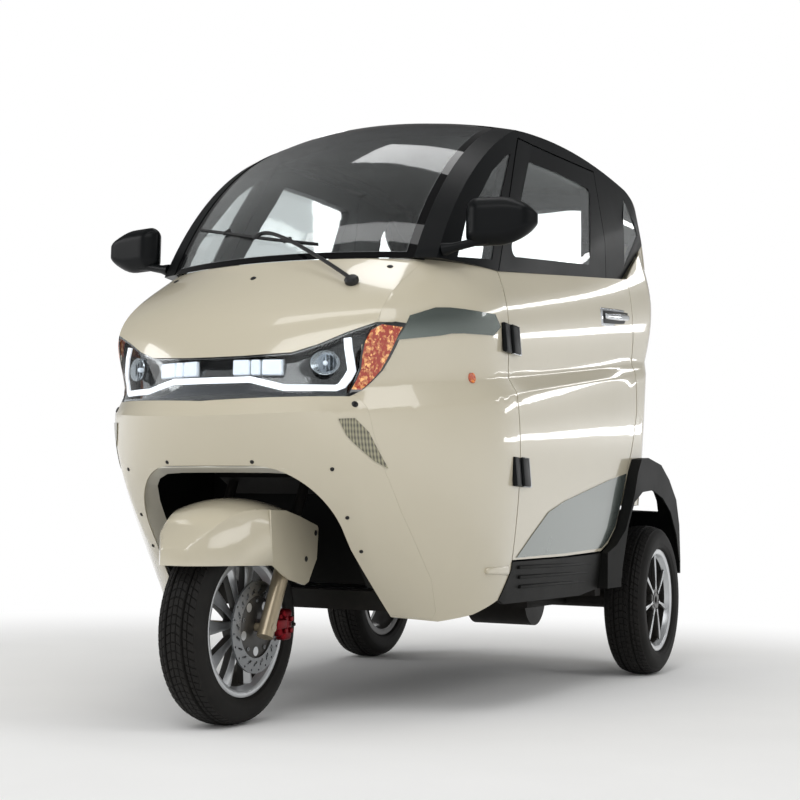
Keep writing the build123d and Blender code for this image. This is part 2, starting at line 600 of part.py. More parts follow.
# Tail: quarter panels behind the doors and the panel across the back
QUARTER = [(1600, belt_z(1600) - SEAM), (1625, 1110), (1595, 868), (1531, 742), (1483, 665), (1440, 560), (2100, 560),
           (2100, 1500 - SEAM), (1860, 1490 - SEAM)]
PANEL_TOP_Z = 1320.0
FLARE_TOP_Z = 500.0
back_hole = box_at(-TAIL_X, TAIL_X, 1700, 2200, FLARE_TOP_Z, PANEL_TOP_Z)
quarter_zone = side_block(QUARTER, 100, FAR) - back_hole - tail_zone(-SEAM)
tail_outer = body_outer + cab_outer
tail_inner = body_inner + cab_form(SKIN)
keep("rear_quarter_panels", both(main_solids((tail_outer & quarter_zone) - tail_inner)))
back_zone = box_at(-TAIL_X + SEAM, TAIL_X - SEAM, 1700, 2200, FLARE_TOP_Z, PANEL_TOP_Z)
keep("rear_panel", main_solids((tail_outer & back_zone) - tail_inner))

bumper_in = 1965 + SEAM
BUMPER = [(300, BUMPER_REAR), (500, 2012), (500, 1995), (400, 1995), (400, bumper_in)]
bumper = plan_block(mirrored(BUMPER), 330, 500)
bumper -= plan_block(mirrored(BUMPER), 320, 495, -5)
keep("rear_bumper", bumper)

# Rear wheel flares and sills in black moulded plastic
FLARE_X = 575.0
FLARE_NOSE_X = 546.0
FLARE_T = 5.0
FLARE = [(1262, 300), (1262, 409), (1323, 433), (1386, 481), (1420, 540), (1484, 664), (1524, 708), (1600, 716), (1755, 699),
         (1856, 652), (1947, 585), (1987, 498), (2001, 375), (2001, 330)]
FLARE_ARCH = [(1350, 200), (1362, 360), (1405, 495), (1448, 568), (1537, 602), (1652, 611), (1773, 588), (1873, 542),
              (1950, 463), (1990, 368), (1990, 200)]


# The flare swells from the door's face to its full width over the wheel
def flare_form(inset):
    plan = [(400, 1200), (FLARE_NOSE_X - inset, 1200), (FLARE_NOSE_X - inset, 1262), (FLARE_X - inset, 1450),
            (FLARE_X - inset, 2100), (400, 2100)]
    return side_block(FLARE, 400, 700, -inset) & plan_block(plan)


flare = (flare_form(0) - flare_form(FLARE_T)) & box_at(TUB_X + SEAM, 700, 0, 2200, 0, 800)
flare -= side_block(FLARE_ARCH, 400, 700)
flare -= box_at(400, 700, 1355, 2100, 0, 330)
keep("wheel_flares", both(main_solids(flare - clear_outer)))

SILL = [(DOOR_FRONT - gap + SEAM, 372), (DOOR_FRONT - gap + SEAM, SILL_Z - DOOR_GAP), (929, 403 - DOOR_GAP), (1255, 412 - DOOR_GAP),
        (1255, 300), (1100, 284), (520, 284), (489 + SEAM, 296)]
sill = (body_form(-3) & side_block(SILL, 200, FAR)) - body_form(8)
keep("sills", both(main_solids(sill)))

# Outer lamps
CORNER_LAMP = [(317, 728), (346, 731), (366, 700), (389, 618), (370, 634), (330, 690)]
corner_zone = front_block(CORNER_LAMP, -400, 200)
keep("corner_lamps", both((body_form(-ACCENT_T) & corner_zone) - clear_outer))
MARKER = (343, 858)
marker_zone = disc_x(13, 300, 700, *MARKER)
keep("side_markers", both((body_form(-4) & marker_zone) - clear_outer))
keep("tail_lamps", both((body_form(-12) & box_at(345, 455, 1700, 2100, 900, 1180)) - clear_outer))

# Mirrors and wiper
pod = fillet(Box(186, 64, 126).edges(), 29)
mirror_piece = Part() + Pos(565, 322, 1250) * Rot(0, 0, 10) * pod + rod((415, 292, 1176), (530, 316, 1205), 15)
keep("mirrors", both((mirror_piece - clear_outer) - cab_form(-SEAM)))
BLADE_LINE = [(-318, 288, 1288), (-200, 241, 1261), (-69, 186, 1229), (36, 166, 1208), (123, 172, 1195)]
ARM_LINE = [(269, 84, 1082), (151, 125, 1152), (44, 157, 1210), (-72, 196, 1254), (-69, 188, 1230)]


def bent_rod(points, r):
    shape = Part()
    for a, b in zip(points, points[1:]):
        shape += rod(a, b, r)
        shape += Pos(*b) * Sphere(r)
    return shape


wiper = bent_rod(BLADE_LINE, 5) + bent_rod(ARM_LINE, 6.5) + rod((263, 125, 1030), (269, 80, 1088), 14)
keep("wiper", (wiper - clear_outer) - cab_form(-SEAM))

# Interior
DASH = [(200, 1085), (225, 1118), (285, 1110), (300, 990), (425, 960), (445, 820), (425, 680), (412, 680), (412, 900),
        (290, 960)]
dash = side_block(DASH, -420, 420) - rod(on_steer(HEAD_LOW_Z), on_steer(BAR_Z + 50), 60)
keep("dashboard", dash & body_form(SKIN + SEAM))


def tray(half, y0, y1, z0, wall=6.0):
    return box_at(-half, half, y0, y1, z0, SEAT_Z) - box_at(-half + wall, half - wall, y0 + wall, y1 - wall, 0, SEAT_Z - wall)


base = tray(SEAT_HALF - 5, SEAT_FRONT - 10, SEAT_FRONT + SEAT_DEPTH + 10, floor_z + PAN + SEAM)
bench = tray(BENCH_HALF - 5, KICK_Y - RAIL_W - PAN, BENCH_FRONT + BENCH_DEPTH + 26, rear_floor + PAN + SEAM)
keep("seat_bases", Compound(children=[*base.solids(), *bench.solids()]))


# A seat: squab on its base and a backrest that stands on the back of the squab
def seat(name, half, front, depth, tall):
    low = SEAT_Z + SEAM
    top = low + CUSHION
    back = front + depth
    squab = box_at(-half, half, front, back, low, top)
    keep(name + "_cushion", fillet(squab.edges().filter_by_position(Axis.Z, top - 1, top + 1), 22))
    line = [(back - 105, top + SEAM), (back, top + SEAM), (back + tall * 0.2, top + tall), (back - 62 + tall * 0.2, top + tall)]
    rest = side_block(line, -half + 6, half - 6)
    keep(name + "_backrest", fillet(rest.edges().filter_by_position(Axis.Z, top + tall - 1, top + tall + 1), 18))


seat("driver", SEAT_HALF, SEAT_FRONT, SEAT_DEPTH, 500)
seat("rear", BENCH_HALF, BENCH_FRONT, BENCH_DEPTH, 470)

# Rear axle: beam, motor block, trailing arms and dampers
AXLE_TUBE_R = 32.0
axle = Part() + rod((-REAR_X + 60, WHEELBASE, REAR_Z), (REAR_X - 60, WHEELBASE, REAR_Z), AXLE_TUBE_R)
axle += rod((-REAR_X - 40, WHEELBASE, REAR_Z), (REAR_X + 40, WHEELBASE, REAR_Z), AXLE_R)
axle += rod((-90, WHEELBASE, REAR_Z), (130, WHEELBASE, REAR_Z), 105)
for side in (-1, 1):
    axle += box_at(side * RAIL_X - 18, side * RAIL_X + 18, 1340, WHEELBASE + 20, REAR_Z - 22, REAR_Z + 8)
    axle += box_at(side * RAIL_X - 18, side * RAIL_X + 18, 1340, 1380, REAR_Z - 22, RAIL_Z - SEAM)
    axle += box_at(side * 315, side * 345, WHEELBASE - 10, WHEELBASE + 115, 225, 245)
    axle += rod((side * 330, WHEELBASE + 95, 244), (side * 330, WHEELBASE + 30, 385), 22)
    axle += rod((side * 330, WHEELBASE + 30, 370), (side * 330, WHEELBASE + 30, KICK_Z - SEAM), 12)
keep("rear_axle", axle)

# Door fittings: handle and the two hinge covers
HINGES = [(975, 508), (629, 540)]
fittings = Part()
for z, x in HINGES:
    fittings += box_at(x - 30, x + 4, DOOR_FRONT + gap + 2, DOOR_FRONT + 62, z - 38, z + 38)
handle = rod((506, 1318, 1150), (508, 1556, 1176), 12)
pair("door_fittings", main_solids((fittings + handle) - clear_outer, 500))

centre = (BUMPER_REAR - FENDER_FRONT) / 2
for name, shape in parts.items():
    solids = Pos(0, -centre, 0) * Compound(children=[*shape.solids()])
    export_step(solids, "parts/" + name + ".step")
print(len(parts), "pieces")
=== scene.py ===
import json
import math
import bmesh
import bpy
from mathutils import Matrix, Vector
from mathutils.bvhtree import BVHTree

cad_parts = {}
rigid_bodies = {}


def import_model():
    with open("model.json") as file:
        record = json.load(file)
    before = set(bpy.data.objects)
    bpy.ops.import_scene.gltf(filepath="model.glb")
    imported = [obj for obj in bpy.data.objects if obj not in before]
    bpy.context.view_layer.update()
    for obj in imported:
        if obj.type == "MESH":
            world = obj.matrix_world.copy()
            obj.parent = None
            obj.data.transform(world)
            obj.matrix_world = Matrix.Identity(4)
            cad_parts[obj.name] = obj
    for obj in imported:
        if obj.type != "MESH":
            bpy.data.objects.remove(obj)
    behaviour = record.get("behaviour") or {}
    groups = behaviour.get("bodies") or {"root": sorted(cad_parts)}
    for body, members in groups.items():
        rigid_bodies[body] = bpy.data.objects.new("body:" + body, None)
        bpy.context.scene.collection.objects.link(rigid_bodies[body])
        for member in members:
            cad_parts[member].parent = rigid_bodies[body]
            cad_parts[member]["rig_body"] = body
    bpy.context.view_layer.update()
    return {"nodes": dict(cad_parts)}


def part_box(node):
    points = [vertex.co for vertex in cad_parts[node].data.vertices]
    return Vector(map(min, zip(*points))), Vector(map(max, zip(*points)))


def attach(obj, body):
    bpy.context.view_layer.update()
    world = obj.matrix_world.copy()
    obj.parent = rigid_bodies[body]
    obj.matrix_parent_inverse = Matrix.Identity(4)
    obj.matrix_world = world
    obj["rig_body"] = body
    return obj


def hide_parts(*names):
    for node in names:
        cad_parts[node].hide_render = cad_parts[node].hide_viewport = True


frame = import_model()

# The camera stands ahead of the left front corner, at the height of the wheel arches.
# Its place, aim, tilt and lens were fitted to the wheels, lamps and panel corners of the photograph.
CAMERA_PLACE = (1.87775, -3.80784, 0.49357)
aim, rise, tilt = (math.radians(a) for a in (26.2137, 4.941, 1.0101))
ahead = Vector((-math.sin(aim) * math.cos(rise), math.cos(aim) * math.cos(rise), math.sin(rise)))
level = Vector((math.cos(aim), math.sin(aim), 0))
upward = level.cross(ahead)
right = level * math.cos(tilt) + upward * math.sin(tilt)
top = upward * math.cos(tilt) - level * math.sin(tilt)
lens = bpy.data.cameras.new("camera")
lens.sensor_width = 36
lens.lens = 63.2
camera = bpy.data.objects.new("camera", lens)
bpy.context.scene.collection.objects.link(camera)
camera.matrix_world = Matrix.Translation(CAMERA_PLACE) @ Matrix((right, top, -ahead)).transposed().to_4x4()
bpy.context.scene.camera = camera
bpy.context.scene.view_settings.view_transform = "Standard"


# The studio: a pale floor that fades into a white background, which mirrors and glass see too.
# Soft boxes stand ahead of, beside and above the vehicle; the sky dims upwards, as a hall's roof does.
def linear(code):
    """A colour written as six sRGB hex digits, in linear light"""
    levels = [int(code[i:i + 2], 16) / 255 for i in (0, 2, 4)]
    return [v / 12.92 if v <= 0.04045 else ((v + 0.055) / 1.055) ** 2.4 for v in levels] + [1.0]


def add(tree, kind, inputs=(), **settings):
    """Adds a shader node with its settings; an input that is a socket is linked, any other is set"""
    made = tree.nodes.new("ShaderNode" + kind)
    for key, value in settings.items():
        setattr(made, key, value)
    for key, value in dict(inputs).items():
        if isinstance(value, bpy.types.NodeSocket):
            tree.links.new(value, made.inputs[key])
        else:
            made.inputs[key].default_value = value
    return made


def new_material(name):
    """A material with an empty node tree, and that tree"""
    made = bpy.data.materials.new(name)
    made.use_nodes = True
    made.node_tree.nodes.clear()
    return made, made.node_tree


SKY_FOOT, SKY_TOP, SKY_LIGHT = 0.95, 0.16, 0.5  # what reflections see low and high up, and what lights
world = bpy.data.worlds.new("studio")
bpy.context.scene.world = world
world.use_nodes = True
sky = world.node_tree
sky.nodes.clear()
rays = add(sky, "LightPath").outputs
seen = add(sky, "Math", {0: rays["Is Camera Ray"], 1: rays["Is Transmission Ray"]}, operation="MAXIMUM").outputs[0]
height = add(sky, "SeparateXYZ", {0: add(sky, "TexCoord").outputs["Generated"]}).outputs["Z"]
roof = add(sky, "MapRange", {"Value": height, "From Min": 0.0, "From Max": 0.3, "To Min": SKY_FOOT,
                             "To Max": SKY_TOP}).outputs[0]
gloss = add(sky, "Mix", {0: rays["Is Glossy Ray"], 2: SKY_LIGHT, 3: roof}).outputs[0]
power = add(sky, "Mix", {0: seen, 2: gloss, 3: 1.0}).outputs[0]
backdrop = add(sky, "Background", {"Color": linear("FFFFFF"), "Strength": power})
add(sky, "OutputWorld", {"Surface": backdrop.outputs[0]})

floor_paint, tree = new_material("painted_studio_floor")
spread = add(tree, "TexCoord").outputs["Object"]
speck = add(tree, "TexNoise", {"Vector": spread, "Scale": 3.0, "Detail": 4.0}).outputs["Fac"]
shade = add(tree, "Mix", {0: speck, 6: linear("EFEFEE"), 7: linear("F4F4F3")}, data_type="RGBA").outputs[2]
matt = add(tree, "BsdfDiffuse", {"Color": shade, "Roughness": 0.6})
white = add(tree, "Emission", {"Color": linear("FFFFFF"), "Strength": 1.0})
distance = add(tree, "VectorMath", {0: spread}, operation="LENGTH").outputs["Value"]
fade = add(tree, "MapRange", {"Value": distance, "From Min": 1.6, "From Max": 3.6}, interpolation_type="SMOOTHSTEP")
both_floors = add(tree, "MixShader", {0: fade.outputs[0], 1: matt.outputs[0], 2: white.outputs[0]})
add(tree, "OutputMaterial", {"Surface": both_floors.outputs[0]})
slab = bmesh.new()
bmesh.ops.create_circle(slab, cap_ends=True, segments=96, radius=40.0)
floor_data = bpy.data.meshes.new("floor")
slab.to_mesh(floor_data)
slab.free()
floor_data.materials.append(floor_paint)
floor = bpy.data.objects.new("floor", floor_data)
bpy.context.scene.collection.objects.link(floor)

# Each soft box has a name, a place, a target, a width and a height in metres, and its watts
SOFT_BOXES = [
    ("key", (0.6, -4.8, 4.4), (0.0, -0.6, 0.8), 3.2, 2.6, 84),
    ("side_fill", (4.4, -0.6, 3.2), (0.3, 0.2, 0.8), 2.4, 1.6, 30),
    ("streak_low", (2.5, 4.3, 1.15), (0.5, 0.0, 0.8), 2.2, 0.08, 3),
    ("streak_middle", (2.6, 4.5, 1.75), (0.5, 0.0, 0.8), 1.7, 0.1, 3),
    ("streak_high", (2.7, 4.6, 2.6), (0.5, 0.0, 0.9), 2.6, 0.12, 5),
    ("off_side", (-4.2, -2.4, 2.8), (0.0, 0.0, 0.8), 1.6, 1.6, 34),
    ("over_front", (0.2, -1.6, 4.6), (0.0, 0.0, 0.8), 3.2, 0.5, 12),
    ("over_rear", (0.2, 0.6, 4.8), (0.0, 0.0, 0.8), 3.2, 0.8, 24),
    ("behind", (-1.5, 4.4, 2.6), (0.0, 0.6, 0.8), 2.4, 1.4, 26),
]
for name, spot, target, wide, tall, watts in SOFT_BOXES:
    lamp = bpy.data.lights.new(name, "AREA")
    lamp.shape = "RECTANGLE"
    lamp.size, lamp.size_y, lamp.energy = wide, tall, watts
    holder = bpy.data.objects.new(name, lamp)
    holder.location = spot
    holder.rotation_euler = (Vector(target) - Vector(spot)).to_track_quat("-Z", "Y").to_euler()
    bpy.context.scene.collection.objects.link(holder)


# The body's outer panels: moulded ABS skins four millimetres thick, finished in a cream pearl lacquer
# and clipped to the cab with narrow seams. Each is the CAD panel, merged and shaded smooth.
DUST_HEAD, DUST_FOOT = 0.75, 0.2


def finish(name, dark, light, rough, spread, grain, relief, patch=3.0, dust=0.0, **sockets):
    """A finish that drifts between two colours in that many patches a metre, with a grain of that size in
    metres and a film of dust that thickens towards the road"""
    made, tree = new_material(name)
    place = add(tree, "TexCoord").outputs["Object"]
    drift = add(tree, "TexNoise", {"Vector": place, "Scale": patch, "Detail": 5.0, "Roughness": 0.6}).outputs["Fac"]
    tone = add(tree, "Mix", {0: drift, 6: linear(dark), 7: linear(light)}, data_type="RGBA").outputs[2]
    dull = add(tree, "MapRange", {"Value": drift, "From Min": 0.1, "From Max": 0.9, "To Min": rough - spread,
                                  "To Max": rough + spread}).outputs[0]
    if dust:
        low = add(tree, "SeparateXYZ", {0: place}).outputs["Z"]
        film = add(tree, "MapRange", {"Value": low, "From Min": DUST_HEAD, "From Max": DUST_FOOT,
                                      "To Max": dust}).outputs[0]
        grit = add(tree, "TexNoise", {"Vector": place, "Scale": 22.0, "Detail": 8.0, "Roughness": 0.7}).outputs["Fac"]
        share = add(tree, "Math", {0: film, 1: grit}, operation="MULTIPLY").outputs[0]
        tone = add(tree, "Mix", {0: share, 6: tone, 7: linear("8C8475")}, data_type="RGBA").outputs[2]
        dull = add(tree, "Mix", {0: share, 2: dull, 3: 0.8}).outputs[0]
    fine = add(tree, "TexNoise", {"Vector": place, "Scale": 1.0 / grain, "Detail": 3.0}).outputs["Fac"]
    bump = add(tree, "Bump", {"Height": fine, "Strength": 1.0, "Distance": relief}).outputs[0]
    shader = add(tree, "BsdfPrincipled", {"Base Color": tone, "Roughness": dull, "Normal": bump, **sockets})
    add(tree, "OutputMaterial", {"Surface": shader.outputs[0]})
    return made


def finished(mesh, name, skins, body, slot, *stands_for, crease=32):
    """Makes an object of the mesh, with smooth faces and sharp creases, that rides on a body"""
    bmesh.ops.remove_doubles(mesh, verts=mesh.verts, dist=1e-5)
    bmesh.ops.recalc_face_normals(mesh, faces=mesh.faces)
    for face in mesh.faces:
        face.smooth = True
    for edge in mesh.edges:
        edge.smooth = len(edge.link_faces) == 2 and edge.calc_face_angle() < math.radians(crease)
    data = bpy.data.meshes.new(name)
    mesh.to_mesh(data)
    mesh.free()
    if "custom_normal" in data.attributes:
        data.attributes.remove(data.attributes["custom_normal"])
    for skin in skins:
        data.materials.append(skin)
    made = bpy.data.objects.new(name, data)
    bpy.context.scene.collection.objects.link(made)
    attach(made, body)
    if stands_for:
        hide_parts(*stands_for)
    return made


def copy_of(node):
    """The mesh of a CAD node, with one material"""
    mesh = bmesh.new()
    mesh.from_mesh(frame["nodes"][node].data)
    for face in mesh.faces:
        face.material_index = 0
    return mesh


def dressed(node, skin, slot, crease=32):
    """Makes a smooth copy of a CAD node that stands for it"""
    body = frame["nodes"][node]["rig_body"]
    finished(copy_of(node), node + "_shell", [skin], body, slot, node, crease=crease)


# Pearl lacquer over ABS: a little orange peel of 12 mm, dust towards the road, a clear gloss coat
pearl = finish("cream_pearl_lacquer", "C7BFA8", "D1C9B4", 0.24, 0.04, 0.012, 0.00008, patch=1.5, dust=0.07,
               **{"Coat Weight": 1.0, "Coat Roughness": 0.03, "Specular IOR Level": 0.5})
for node in ("front_fascia", "bonnet", "front_side_panels", "rear_quarter_panels", "rear_panel", "door_left",
             "door_right"):
    dressed(node, pearl, "cream_paint")
dressed("front_fender", pearl, "cream_paint", 80)

# Silver trims: the lower skin of each door and the blade behind the headlamp, metallic paint on ABS.
# They are thin mouldings bonded on the cream panels.
silver = finish("silver_metallic_lacquer", "626C67", "717B76", 0.24, 0.05, 0.0016, 0.00003, patch=2.0, dust=0.15,
                Metallic=0.7, **{"Coat Weight": 1.0, "Coat Roughness": 0.04})
AXLE_TO_ORIGIN = 905  # millimetres from the front axle back to the frame's origin
BLADE_TAIL, BLADE_END = (265 - AXLE_TO_ORIGIN) / 1000, (488 - AXLE_TO_ORIGIN) / 1000


def sides_of(*nodes):
    """The CAD faces of some nodes as one tree that lines can be cast at"""
    corners, faces = [], []
    for node in nodes:
        mesh = frame["nodes"][node].data
        faces += [[len(corners) + i for i in poly.vertices] for poly in mesh.polygons]
        corners += [v.co.copy() for v in mesh.vertices]
    return BVHTree.FromPolygons(corners, faces)


for node in ("door_accent_left", "door_accent_right"):
    dressed(node, silver, "silver_paint")
blades = copy_of("accent_blades")
bmesh.ops.remove_doubles(blades, verts=blades.verts, dist=1e-5)
# A raked cut frees the lamp's outer end, and the tail is drawn out along the side panel to the hinge cover
cut = bmesh.ops.bisect_plane(blades, geom=blades.verts[:] + blades.edges[:] + blades.faces[:],
                             plane_co=(0, -0.812, 0.955), plane_no=(0, 1, -0.6), clear_inner=True)
bmesh.ops.edgeloop_fill(blades, edges=[g for g in cut["geom_cut"] if isinstance(g, bmesh.types.BMEdge)])
side_skin = sides_of("front_side_panels")
tail_end = max(v.co.y for v in blades.verts)
for vert in blades.verts:
    if vert.co.y > BLADE_TAIL:
        moved = BLADE_TAIL + (vert.co.y - BLADE_TAIL) * (BLADE_END - BLADE_TAIL) / (tail_end - BLADE_TAIL)
        way = math.copysign(1, vert.co.x)
        old, new = (side_skin.ray_cast(Vector((way * 0.9, y, vert.co.z)), Vector((-way, 0, 0)))[0]
                    for y in (vert.co.y, moved))
        if old and new:
            vert.co.x += new.x - old.x
        vert.co.y = moved
finished(blades, "accent_blades_trim", [silver], "body", "silver_paint", "accent_blades")

# Cab frame, roof skin and door frames: black lacquered pressings around the glass, with a satin sheen.
# They carry the windscreen, the doors and the belt line.
satin = finish("satin_black_lacquer", "07090A", "0E1012", 0.36, 0.08, 0.004, 0.00003, patch=4.0,
               **{"Specular IOR Level": 0.14})
for node in ("cab_frame", "roof_panel", "door_frame_left", "door_frame_right"):
    dressed(node, satin, "satin_black")

# Unpainted black mouldings: wheel flares, sills, rear bumper, arch liners, dashboard and seat boxes.
# Grained polypropylene, dusty towards the road; the cabin floor is covered by a rubber mat.
grained = finish("grained_black_polypropylene", "080A0A", "0F1112", 0.5, 0.08, 0.0022, 0.00012, patch=5.0, dust=0.05,
                 **{"Specular IOR Level": 0.12})
for node in ("wheel_flares", "sills", "rear_bumper", "wheel_housings", "dashboard", "seat_bases"):
    dressed(node, grained, "black_plastic")
mat = finish("ribbed_rubber_mat", "17171A", "232326", 0.75, 0.08, 0.006, 0.0006)
dressed("floor_pan", mat, "black_plastic")

# Chassis, rear axle and battery case: welded steel in black chassis paint, with a film of road dust.
# They hang under the floor and show below the sills.
chassis_black = finish("black_chassis_paint", "0B0B0C", "141414", 0.5, 0.1, 0.003, 0.0001, patch=7.0, dust=0.12,
                       **{"Specular IOR Level": 0.25})
for node in ("chassis_frame", "rear_axle", "battery_block"):
    dressed(node, chassis_black, "chassis_paint")


# Steering: fork legs and lower yoke in champagne lacquer; the stem and bar above them are painted black, as painted
# shade for the dark inside the wheel arch.
# The legs slide in their lower castings, and the caliper is a red anodised aluminium casting.
def place_of(x, y, z):
    """A place given in millimetres, with y counted back from the front axle"""
    return Vector((x, y - AXLE_TO_ORIGIN, z)) / 1000


def to_place(x, y, z):
    """The move from the origin to such a place"""
    return Matrix.Translation(place_of(x, y, z))


def turned(profile, steps=72, closed=False):
    """A shape turned about X from points (x, radius) in millimetres"""
    mesh = bmesh.new()
    ring = [mesh.verts.new((x / 1000, 0, r / 1000)) for x, r in profile]
    line = list(zip(ring, ring[1:] + ring[:1])) if closed else list(zip(ring, ring[1:]))
    edges = [mesh.edges.new(two) for two in line]
    bmesh.ops.spin(mesh, geom=ring + edges, cent=(0, 0, 0), axis=(1, 0, 0), angle=math.tau, steps=steps,
                   use_merge=True)
    bmesh.ops.remove_doubles(mesh, verts=mesh.verts, dist=1e-6)
    bmesh.ops.recalc_face_normals(mesh, faces=mesh.faces)
    return mesh


def joined(mesh, part, place=Matrix(), skin=None):
    """Moves a part into place and adds it to a mesh"""
    if skin is not None:
        for face in part.faces:
            face.material_index = skin
    bmesh.ops.transform(part, matrix=place, verts=part.verts)
    if place.determinant() < 0:
        bmesh.ops.reverse_faces(part, faces=part.faces)
    data = bpy.data.meshes.new("part")
    part.to_mesh(data)
    part.free()
    mesh.from_mesh(data)
    bpy.data.meshes.remove(data)


def block(size, radius, steps=3):
    """A rounded block about the origin, in millimetres"""
    mesh = bmesh.new()
    bmesh.ops.create_cube(mesh, size=1.0)
    bmesh.ops.scale(mesh, vec=Vector(size) / 1000, verts=mesh.verts)
    bmesh.ops.bevel(mesh, geom=list(mesh.edges), affect="EDGES", offset=radius / 1000, offset_type="OFFSET",
                    segments=steps, profile=0.5, material=-1, clamp_overlap=True)
    return mesh


CALIPER_PARTS = [((30, 54, 58), 9, (81, 107, 236)), ((36, 40, 76), 8, (80, 112, 236)),
                 ((10, 44, 24), 3, (103, 68, 240))]  # the sizes, edge radius and place of each block
CALIPER_BOLTS, CALIPER_PINS = [(96, 222), (122, 250), (122, 222), (96, 250)], [(84, 236), (132, 236)]
FORK_SHADE_FOOT = 0.47  # above this height the fork is painted black: painted shade inside the wheel arch
champagne = finish("champagne_fork_lacquer", "A2947A", "B8AA90", 0.32, 0.08, 0.002, 0.00004, patch=14.0,
                   dust=0.2, Metallic=0.6, **{"Coat Weight": 0.4})
fork = copy_of("fork")
# Faces above that height take the black paint, which is painted shade for the inside of the arch
for face in fork.faces:
    face.material_index = 1 if face.calc_center_median().z > FORK_SHADE_FOOT else 0
finished(fork, "fork_and_bar", [champagne, chassis_black], "steering", "fork_finish", "fork")
red_metal = finish("red_anodised_aluminium", "6E0A14", "8E1420", 0.35, 0.08, 0.0016, 0.00004, patch=20.0,
                   Metallic=0.8)
caliper = bmesh.new()
for size, radius, spot in CALIPER_PARTS:
    joined(caliper, block(size, radius), to_place(*spot))
for y, z in CALIPER_BOLTS:
    joined(caliper, turned([(0, 0), (0, 7), (5, 7), (7, 5), (7, 0)], 18), to_place(97, y, z), skin=0)
for y, z in CALIPER_PINS:
    joined(caliper, turned([(0, 0), (0, 4.5), (6, 4.5), (6, 0)], 6), to_place(99, y, z), skin=1)
finished(caliper, "brake_caliper_casting", [red_metal, chassis_black], "steering", "red_anodised", "brake_caliper")


# Windows: bonded safety glass four millimetres thick, smoke tinted. The windscreen has a printed black
# border and darkens towards its top edge; the door, quarter and rear panes are a shade darker all over.
def tinted(name, tint, top_z, border_x, foot_z, head_z):
    """Smoke glass that darkens up to top_z, printed black beyond border_x, below foot_z and above head_z"""
    made, tree = new_material(name)
    place = add(tree, "TexCoord").outputs["Object"]
    axes = add(tree, "SeparateXYZ", {0: place}).outputs
    band = add(tree, "MapRange", {"Value": axes["Z"], "From Min": top_z - 0.2, "From Max": top_z}).outputs[0]
    smoke = add(tree, "Mix", {0: band, 6: linear(tint), 7: linear("3A3F42")}, data_type="RGBA").outputs[2]
    across = add(tree, "Math", {0: axes["X"]}, operation="ABSOLUTE").outputs[0]
    side = add(tree, "MapRange", {"Value": across, "From Min": border_x, "From Max": border_x + 0.001}).outputs[0]
    foot = add(tree, "MapRange", {"Value": axes["Z"], "From Min": foot_z, "From Max": foot_z - 0.001}).outputs[0]
    head = add(tree, "MapRange", {"Value": axes["Z"], "From Min": head_z, "From Max": head_z + 0.001}).outputs[0]
    print_edge = add(tree, "Math", {0: side, 1: foot}, operation="MAXIMUM").outputs[0]
    printed = add(tree, "Math", {0: print_edge, 1: head}, operation="MAXIMUM").outputs[0]
    tone = add(tree, "Mix", {0: printed, 6: smoke, 7: linear("0A0A0B")}, data_type="RGBA").outputs[2]
    clear = add(tree, "Math", {0: 1.0, 1: printed}, operation="SUBTRACT").outputs[0]
    wave = add(tree, "TexNoise", {"Vector": place, "Scale": 4.0, "Detail": 1.0}).outputs["Fac"]
    bump = add(tree, "Bump", {"Height": wave, "Strength": 0.3, "Distance": 0.0004}).outputs[0]
    haze = add(tree, "TexNoise", {"Vector": place, "Scale": 9.0, "Detail": 6.0}).outputs["Fac"]
    dull = add(tree, "MapRange", {"Value": haze, "To Min": 0.0, "To Max": 0.05}).outputs[0]
    shader = add(tree, "BsdfPrincipled", {"Base Color": tone, "Roughness": dull, "IOR": 1.45,
                                          "Transmission Weight": clear, "Normal": bump})
    add(tree, "OutputMaterial", {"Surface": shader.outputs[0]})
    return made


screen_glass = tinted("smoke_tinted_laminated_glass", "E3E7E7", 1.62, 0.342, 1.172, 1.622)
NO_PRINT = (0.9, 0.5, 2.5)  # limits outside the pane, for glass without a border
pane_glass = tinted("smoke_tinted_tempered_glass", "DCE1E1", 2.2, *NO_PRINT)
dressed("windshield", screen_glass, "clear_glazing")
for node in ("door_glass_left", "door_glass_right", "rear_window"):
    dressed(node, pane_glass, "clear_glazing")
quarter = copy_of("quarter_glass")
rear_panes = [f for f in quarter.faces if f.calc_center_median().y > 0.3]
bmesh.ops.delete(quarter, geom=rear_panes, context="FACES")
REAR_PANE = [(1665, 1605), (1785, 1500), (1635, 1363), (1625, 1532)]  # how far back and high its corners are
PANE_MIDDLE, PANE_GAP = (1670, 1500), 0.006  # the pane shrinks by this share towards its middle
PANE_X, PANE_LEAN, PANE_RISE = 478.2, 13.0, 105  # its top leans in by so much over its rise
PANE_WALL = 0.004


def faced(sheet, way, wall=None):
    """Turns the faces of an open sheet towards a direction and gives them a wall of that thickness"""
    bmesh.ops.recalc_face_normals(sheet, faces=sheet.faces)
    if sum(face.normal.dot(Vector(way)) for face in sheet.faces) < 0:
        bmesh.ops.reverse_faces(sheet, faces=sheet.faces)
    if wall:
        bmesh.ops.solidify(sheet, geom=list(sheet.faces), thickness=wall)
    return sheet


